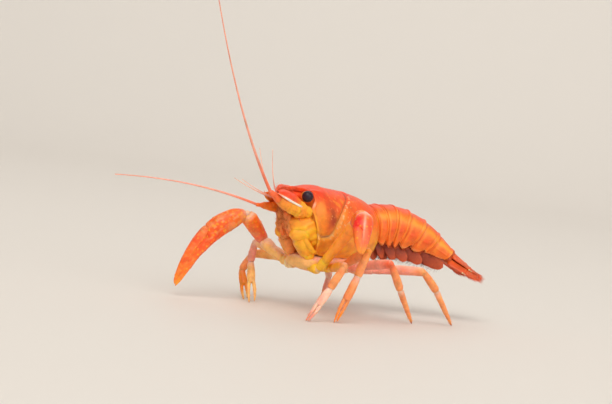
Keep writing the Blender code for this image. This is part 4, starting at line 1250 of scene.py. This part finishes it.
def build_sternum():
    """The thorax floor between the legs, with its plates, and the coxa of each leg."""
    f = steps(120, -6.2, 3.9)
    top, bottom, half = sizes_at(STERNUM_STATIONS, f)
    middle = np.hstack((f, 0 * f, (top + bottom) / 2))
    grid = sweep(middle, half, (top - bottom) / 2, UP, 56, 0.85)
    lines = np.abs(np.sin(math.pi * (grid[..., 0] + 0.25) / 1.53)) ** 0.35
    grid = raised(grid, 0.12 * lines - 0.1 + 0.03 * wobble(grid, 0.6, 300))
    tint = mix(
        PEACH,
        (BROWN, 0.6 * (1 - lines)),
        (SAND, 0.85 * step_up(grid[..., 0], 2.0, 3.2)),
        # painted highlight: pale pink on the upward faces
        (PALE_PINK, 0.7 * facing(grid, 1)),
    )
    shape = Shape()
    shape.add(grid, tint)
    for pair, hip in HIPS.items():
        for side in (1, -1):
            size = 0.72 if pair == 1 else 0.62
            profile = np.array(((0, 0.8, 0.7), (0.5, 1, 0.85), (0.85, 1, 0.88), (1, 0.85, 0.75)))
            profile = profile * (1, size, size)
            ends = mirrored(((hip[0], 1.2, 5.55), hip), side)
            coxa, share = segment(*ends, profile, UP, 44, 40, 0.1, 0.1)
            grooves = 0.05 * bell(share - 0.8, 0.05) + 0.07 * bell(share - 0.46, 0.04)
            coxa = raised(coxa, 0.05 * wobble(coxa, 0.6, 310 + pair) - grooves)
            colour = PEACH if pair > 3 else PALE if side < 0 else YELLOW
            tint = mix(
                ramp((0, 0.25, 0.9, 1), (PEACH, colour, colour, PALE), share),
                # painted highlight: pale pink on the upward faces of the far coxae
                (PALE_PINK, 0.7 * facing(coxa, 1) * (side < 0)),
                (BROWN, 0.3 * bell(share - 0.46, 0.04)),
            )
            shape.add(coxa, tint)
    shape.build("sternum_plates", SOFT, "underside", "thorax_floor")


# --- Abdomen and tail fan ---

ABDOMEN_TOP = np.array((SHELL_REAR - 0.1, 0.05, 13.05))
SOMITES = (  # length, turn to the left and slope in degrees, height, half width
    (1.5, 10, 7, 4.3, 2.6),
    (2.0, 20, 3, 4.8, 2.85),
    (2.1, 29, -10, 4.9, 2.85),
    (2.4, 31, -23, 4.7, 2.75),
    (2.5, 32, -34, 4.2, 2.5),
    (2.6, 34, -43, 3.4, 2.1),
)
LAST_RING = len(SOMITES) - 1
LAST_SIZE = (2.2, 1.75)  # height and half width of its rear end
TELSON = (4.3, 31, -32)  # length, turn and slope
ARCH_SHARE = 0.6  # share of a plate's breadth that is the arch, before the side walls
PLATE_THICKNESS = 0.13


def heading(turn, slope):
    turn, slope = math.radians(turn), math.radians(slope)
    return np.array((-math.cos(turn) * math.cos(slope), math.sin(turn) * math.cos(slope), math.sin(slope)))


def abdomen_frames():
    """For each ring: its front point on the back, direction, length, end normals and end sizes."""
    directions = [heading(4, 4)] + [heading(*s[1:3]) for s in SOMITES] + [heading(*TELSON[1:])]
    sizes = [np.array(s[3:]) for s in SOMITES] + [np.array(LAST_SIZE)]
    top, frames = ABDOMEN_TOP, []
    for k, (length, *_) in enumerate(SOMITES):
        before, direction, after = directions[k : k + 3]
        ends = unit(before + direction), unit(direction + after)
        frames.append((top, direction, length, *ends, *sizes[k : k + 2]))
        top = top + direction * length
    return frames, top


ABDOMEN, TAIL_ROOT = abdomen_frames()


def ring_place(k, share, lift=0.0):
    """Point on the back, unit vectors to the left and up, height and half width."""
    top, direction, length, first, last, near, far = ABDOMEN[k]
    normal = unit(first * (1 - held(share)) + last * held(share))
    left = unit(np.cross(UP, normal))
    left = left * np.sign(left[..., 1:2])
    over = unit(np.cross(left, normal))
    over = over * np.sign(over[..., 2:3])
    sizes = near * (1 - held(share)) + far * held(share)
    return top + direction * (length * share) + over * lift, left, over, sizes[..., :1], sizes[..., 1:]


def build_tergite(k):
    """One ring's back plate, with side lobes, overlapping the ring behind it."""
    t = steps(64, -0.06 if k else -0.35, 1.13 if k < LAST_RING else 1.04)
    lifts = (-0.3, -0.26, -0.14, 0.0, 0.06, 0.06, 0.1, 0.02)
    swell = ramp((-0.35, -0.06, 0.08, 0.2, 0.5, 0.9, 1.02, 1.13), lifts, t)
    spot, left, over, height, half = ring_place(k, t, swell)
    c = np.linspace(-1, 1, 181)
    q = np.abs(c)
    angle = held(q / ARCH_SHARE) * math.pi / 2
    wall = held((q - ARCH_SHARE) / (1 - ARCH_SHARE))
    middle = held(t - 0.02)
    lobe = np.sin(math.pi * held(middle * 0.94 + 0.03)) ** 0.45 * (0.9 + 0.12 * middle)
    reach = height / 2 * (0.56 + (0.5 if k < LAST_RING else 0.2) * lobe)
    aside = (half + swell) * ((np.sin(angle) ** 0.93 - 0.03 * wall - 0.11 * wall**2) * np.sign(c))
    down = -height / 2 * (1 - np.cos(angle) ** 0.93) - reach * wall
    grid = rings(spot, left, over, aside, down)
    # Towards the lobe's tip the plate narrows along the body.
    pinch = (t - 0.56) * (-0.16 * wall**2) * SOMITES[k][0]
    grid = grid + ABDOMEN[k][1] * pinch[..., None]
    relief = (
        -0.06 * bell(t - 0.2, 0.03) * (q < 0.9)
        + 0.04 * bell(t - 1.06, 0.05)
        - 0.04 * bell(t - 0.93, 0.03)
        + 0.05 * bell(q - 0.66, 0.03) * bell(t - 0.6, 0.3)
        + 0.02 * wobble(grid, 0.9, 400 + k)
        + 0.05 * bell(q - 0.97, 0.03)
    )
    colours = (RED, RED_ORANGE, ORANGE, LIGHT_ORANGE, ORANGE, ORANGE, ORANGE, ORANGE, RUST)
    place = q + 0.025 * wobble(grid, 1.2, 410 + k)
    side = step_up(q, 0.15, 0.35) * (1 - step_up(q, 0.78, 0.9))
    tint = mix(
        ramp((0, 0.2, 0.3, 0.42, 0.55, 0.74, 0.84, 0.93, 1), colours, place),
        (RED, (0.62 if 0 < k < LAST_RING else 0.3) * bell(q - 0.66, 0.14) * bell(t - 0.56, 0.42)),
        (LIGHT_ORANGE, 0.5 * bell(t - 0.34, 0.09) * side),
        (AMBER, 0.3 * bell(t - 1.07, 0.05) * side),
        (BROWN, 0.35 * bell(t - 0.2, 0.025)),
    )
    outer, inner = raised(grid, relief, closed=False), raised(grid, -PLATE_THICKNESS, closed=False)
    plate = build_plate(outer, inner, tint, 0.6, f"tergite_{k + 1}", "abdomen_shell", f"abdomen_{k + 1}")
    lean = ABDOMEN[k][1] * 0.7 - UP * 0.9
    for columns in ((0.0, 0.012), (0.487, 0.499)):
        BODY_HAIR.along(plate, (0.25, 0.95), columns, 46, 420 + k, 0.42, 0.014, lean, BROWN)


def add_paddles(shape, k):
    """The pair of two-bladed paddles under one ring. Those further back are longer and swept back. Their dark
    brown is partly their own colour and partly painted shade under the abdomen.
    """
    spot, left, over, height, half = ring_place(k, 0.5 + 0.018 * k**2)
    direction = ABDOMEN[k][1]
    swept = unit(direction * (1, 1, 0)) * (0.17 * k**2) + UP * (0.085 * k**2)
    share = steps(34)
    wide = ramp((0, 0.2, 0.6, 0.88, 0.97, 1), (0.2, 0.5, 0.58, 0.42, 0.2, 0.03), share) * (1 + 0.09 * k)
    # dark brown, partly the paddles' own colour and partly painted shade under the abdomen
    colours = (DARK_BROWN, (DARK_BROWN + BROWN) / 2, BROWN)
    for side in (1, -1):
        root = spot - over * (height * 0.7) + left * half * 0.5 * side
        end = root - over * 1.2 - direction * 0.1 + left * 0.15 * side
        stem, place = segment(root, end, ((0, 0.5, 0.6), (1, 0.42, 0.5)), direction, 22, 20, 0.1, 0.08)
        shape.add(stem, ramp((0, 1), (DARK_BROWN, BROWN), place))
        for flip in (1, -1):
            sway = left * (0.2 * flip + 0.05 * side) + direction * 0.36 * flip
            aside = sway * (1.3 + 0.25 * k) + direction * (0.4 + 0.25 * k) + swept
            tip = end - over * (2.0 - 0.12 * flip) + aside
            path = through((end + over * 0.08, (end + tip) / 2 + sway * 0.35, tip), 34)
            leaf = sweep(path, wide, 0.06 + 0.04 * (1 - share), left, 24)
            shape.add(leaf, ramp((0, 0.6, 1), colours, share))
            seed, lean = 440 + 8 * k + flip, -over * 1.2
            for columns in ((-0.04, 0.04), (0.46, 0.54)):
                BODY_HAIR.along(leaf, (0.3, 1.0), columns, 40, seed, 0.45, 0.011, lean, DARK_BROWN, 0.15)


def build_belly():
    """The soft underside of the abdomen, ribbed across, with paddles on every ring but the last. Its brown is
    partly its own colour and partly painted shade, darker still on the downward faces.
    """
    turn = circle(60, -math.pi)
    rows = []
    for k in range(len(SOMITES)):
        t = np.linspace(0.0, 1.0, 22, endpoint=k == LAST_RING)[:, None]
        spot, left, over, height, half = ring_place(k, t)
        aside = 0.86 * half * power(np.sin(turn), 0.8)
        up, low = -0.12 * height, -0.86 * height
        level = (up + low) / 2 + (up - low) / 2 * power(np.cos(turn), 0.8)
        rib = 0.07 * np.cos(2 * math.pi * t) * step_up(-np.cos(turn), 0, 0.8)
        rows.append(rings(spot, left, over, aside, level - rib))
    grid = np.concatenate(rows)
    grid = raised(grid, 0.03 * wobble(grid, 0.5, 430))
    # brown, partly the underside's own colour and partly painted shade
    tint = ramp((-1, 0, 1), (BROWN, DARK_BROWN, BROWN), wobble(grid, 1.3, 431))
    shape = Shape()
    # painted shade: darker brown on the downward faces
    shape.add(grid, mix(tint, (DARK_BROWN, 0.4 * facing(grid, -1))))
    for k in range(LAST_RING):
        add_paddles(shape, k)
    shape.build("belly_and_paddles", SOFT, "underside")


# Half width of a blade of the tail fan at these shares of its length.
TAIL_BLADE = ((0, 0.8), (0.12, 0.95), (0.5, 1.0), (0.8, 0.93), (0.93, 0.72), (0.98, 0.45), (1, 0.2))
UROPODS = (
    # name, spread in degrees, offsets aside and down, length, seam, lift, droop in degrees, seed
    ("inner", 9, 0.72, 0.6, 4.2, 0.72, 0.05, 12, 510),
    ("outer", 20, 0.98, 1.35, 4.3, 0.62, 0.13, 32, 520),
)


def add_blade(shape, root, axis, across, down, length, outline, dome, split, seed, side=0):
    """A plate of the tail fan: a low ridge down its middle, ribs, and a seam at split."""
    share = steps(110)
    half = ramp(*zip(*outline), share)
    path = root + axis * (length * share) + down * (0.1 * share**2)
    thick = ramp((0, 0.15, 0.7, 1), (0.24, 0.2, 0.13, 0.07), share)
    grid = sweep(path, half, thick, down, 84)
    place = ((grid - path[:, None]) * across).sum(-1) / np.maximum(half, 0.05)
    grid = grid + down * (0.24 * dome * place**2)[..., None]
    fan = np.abs(np.sin(9 * place + 0.8 * side)) ** 0.5 * step_up(share, split + 0.02, split + 0.14)
    ridge, seam = place - 0.12 * side, share - split
    relief = (
        0.05 * bell(ridge, 0.08) * (1 - 0.6 * share)
        + 0.03 * bell(np.abs(place) - 0.86, 0.06)
        - 0.07 * bell(seam, 0.014)
        + 0.05 * bell(seam + 0.03, 0.02) * (1 + 0.6 * np.sin(26 * place))
        + 0.02 * fan
        - 0.02
        + 0.012 * wobble(grid, 0.5, seed)
    )
    grid = raised(grid, relief)
    colours = (ORANGE, RED_ORANGE, RED_ORANGE, CORAL, CORAL)
    dark = 0.35 * (1 - fan) * step_up(share, split + 0.02, split + 0.1) + 0.3 * bell(seam, 0.02)
    tint = mix(
        ramp((0, 0.25, split, split + 0.06, 1), colours, share),
        (LIGHT_ORANGE, 0.55 * bell(ridge, 0.12) * (1 - share)),
        (CORAL, 0.6 * bell(np.abs(place) - 0.95, 0.12)),
        (BROWN, 0.3 + 0.3 * share + 0.25 * abs(side)),
        (BROWN, dark),
        (PALE_PINK, 0.55 * step_up(share, 0.96, 1.0)),
    )
    shape.add(grid, tint)
    row = int(split * (len(path) - 1))
    for sign in (1, -1):
        if side in (0, sign):
            base = path[row] + across * sign * half[row] * 0.96 + down * 0.2 * dome
            spike = through((base - axis * 0.3, base, base + axis * 0.28 + across * sign * 0.05), 10)
            size = steps(10, 0.1, 0.008)
            shape.add(sweep(spike, size, size, down, 10), PALE)
    for columns in ((-0.06, 0.06), (0.44, 0.56)):
        TAIL_HAIR.along(grid, (split, 0.985), columns, 190, seed + 1, 0.45, 0.012, axis * 1.7, CORAL, 0.1)
    TAIL_HAIR.along(grid, (0.96, 1.0), (0, 1), 170, seed + 2, 0.5, 0.012, axis * 2.2, CORAL, 0.12)


def build_tail_fan():
    length, turn, slope = TELSON
    axis = heading(turn, slope)
    across = unit(np.cross(axis, UP))
    across = across * np.sign(across[1])
    down = unit(np.cross(across, axis))
    down = down * -np.sign(down[2])
    lead = axis * 0.3
    shape = Shape()
    outline = [(s, w * (1.25 if s < 0.6 else 1.18)) for s, w in TAIL_BLADE]
    root = TAIL_ROOT + lead * 0.2 + down * 0.3
    add_blade(shape, root, axis, across, down, length + 0.2, outline, 1.0, 0.62, 500)
    shape.build("telson_plate", SHELL, "tail_shell", "telson")
    outline = [(0, 0.34)] + [(s, w * 0.98) for s, w in TAIL_BLADE[1:]]
    for name, spread, aside, drop, reach, split, lift, droop, seed in UROPODS:
        for label, side in SIDES:
            direction, sideways = turned(axis, across, spread * side)
            direction = unit(direction - down * lift)
            sideways, under = turned(sideways, down, droop * side)
            start = TAIL_ROOT + lead + across * side * aside + down * drop
            shape = Shape()
            add_blade(shape, start, direction, sideways, under, reach, outline, 0.6, split, seed + side, side)
            stem = start - lead * 1.6 - across * side * 0.35 + down * -0.1
            profile = ((0, 0.5, 0.62), (0.6, 0.56, 0.6), (1, 0.46, 0.34))
            joint, _ = segment(stem, start + direction * 0.35, profile, down, 26, 24, 0.2, 0.15)
            shape.add(joint, BROWN)
            shape.build(f"{name}_fan_blade_{label}", SHELL, "tail_shell", f"uropod_{name}_{label}")


def build_abdomen():
    for k in range(len(SOMITES)):
        build_tergite(k)
    build_belly()
    build_tail_fan()


# --- Stage, light and camera ---

CAMERA_TURN = -44.0  # degrees: the camera stands ahead of the animal, on its left
CAMERA_RISE = 3.0
CAMERA_ROLL = 7.0
CAMERA_DISTANCE = 170.0  # mm from the point it is set on
CAMERA_TARGET = np.array((0.0, 0.0, 7.4))  # forward, left, up
CAMERA_OFF_AXIS = (1.6471, 5.6471)  # mm: how far left of and above the target it points
LENS, SENSOR = 85.0, 36.0
STUDIO = (
    # name, place in metres, diameter, power, colour
    ("key", (-0.50, -0.40, 0.84), 0.90, 6.9, (1.0, 0.97, 0.92)),
    ("fill", (-0.05, -1.00, 0.42), 1.00, 4.8, (1.0, 0.96, 0.93)),
    ("rim", (0.42, 0.35, 0.52), 0.70, 1.05, (1.0, 0.97, 0.94)),
)


def build_stage():
    """A plain pale floor that curves up behind into a plain backdrop."""
    half_width, near, bend, height, radius = 2.5, -2.5, 0.35, 0.9, 0.25
    profile = [(near, 0.0)] + [(t, 0.0) for t in np.linspace(-0.2, bend, 8)]
    turns = np.linspace(0.1, math.pi / 2, 16)
    profile += [(bend + radius * math.sin(a), radius - radius * math.cos(a)) for a in turns]
    profile.append((bend + radius, height))
    points = [(x, along, z) for along, z in profile for x in (-half_width, half_width)]
    faces = [(k, k + 1, k + 3, k + 2) for k in range(0, len(points) - 2, 2)]
    mesh = bpy.data.meshes.new("floor_stage")
    mesh.from_pydata(points, [], faces)
    mesh.shade_smooth()
    material, tree, shader = new_material("pale_floor")
    connect(tree, shader, {"Base Color": (0.74, 0.70, 0.65, 1), "Roughness": 0.6})
    mesh.materials.append(material)
    floor = placed("floor_stage", mesh)
    floor.rotation_euler.z = math.radians(CAMERA_TURN)


def build_camera():
    turn, rise = math.radians(CAMERA_TURN), math.radians(CAMERA_RISE)
    back = Vector((math.sin(turn) * math.cos(rise), -math.cos(turn) * math.cos(rise), math.sin(rise)))
    right = Vector((math.cos(turn), math.sin(turn), 0))
    right, up = turned(right, back.cross(right), CAMERA_ROLL)
    aside, above = CAMERA_OFF_AXIS
    data = bpy.data.cameras.new("camera")
    data.lens, data.sensor_width, data.clip_start = LENS, SENSOR, 0.005
    camera = placed("camera", data)
    place = Matrix((right, up, back)).transposed().to_4x4()
    away = back * CAMERA_DISTANCE - right * aside + up * above
    place.translation = Vector(to_scene(CAMERA_TARGET)) + MM * away
    camera.matrix_world = place
    bpy.context.scene.camera = camera


def build_lights():
    """Soft studio light: a broad key from above and ahead, a fill at the side and a rim light behind."""
    for name, place, size, power_in_watts, colour in STUDIO:
        data = bpy.data.lights.new(name, "AREA")
        data.shape, data.size, data.energy, data.color = "DISK", size, power_in_watts, colour
        lamp = placed(name, data)
        lamp.location = place
        lamp.rotation_euler = (Vector((0.0, 0.0, 0.01)) - Vector(place)).to_track_quat("-Z", "Y").to_euler()
    world = bpy.data.worlds.new("studio")
    world.use_nodes = True
    background = world.node_tree.nodes["Background"]
    connect(world.node_tree, background, {"Color": (0.95, 0.93, 0.9, 1), "Strength": 0.42})
    bpy.context.scene.world = world


def main():
    bpy.context.scene.view_settings.view_transform = "Standard"  # colours show as they are set
    build_carapace()
    build_core()
    build_eyes()
    build_antennae()
    build_antennules()
    build_scales()
    build_mouth()
    build_jaw_legs()
    build_sternum()
    build_limbs()
    build_abdomen()
    build_bristles()
    build_stage()
    build_camera()
    build_lights()


main()
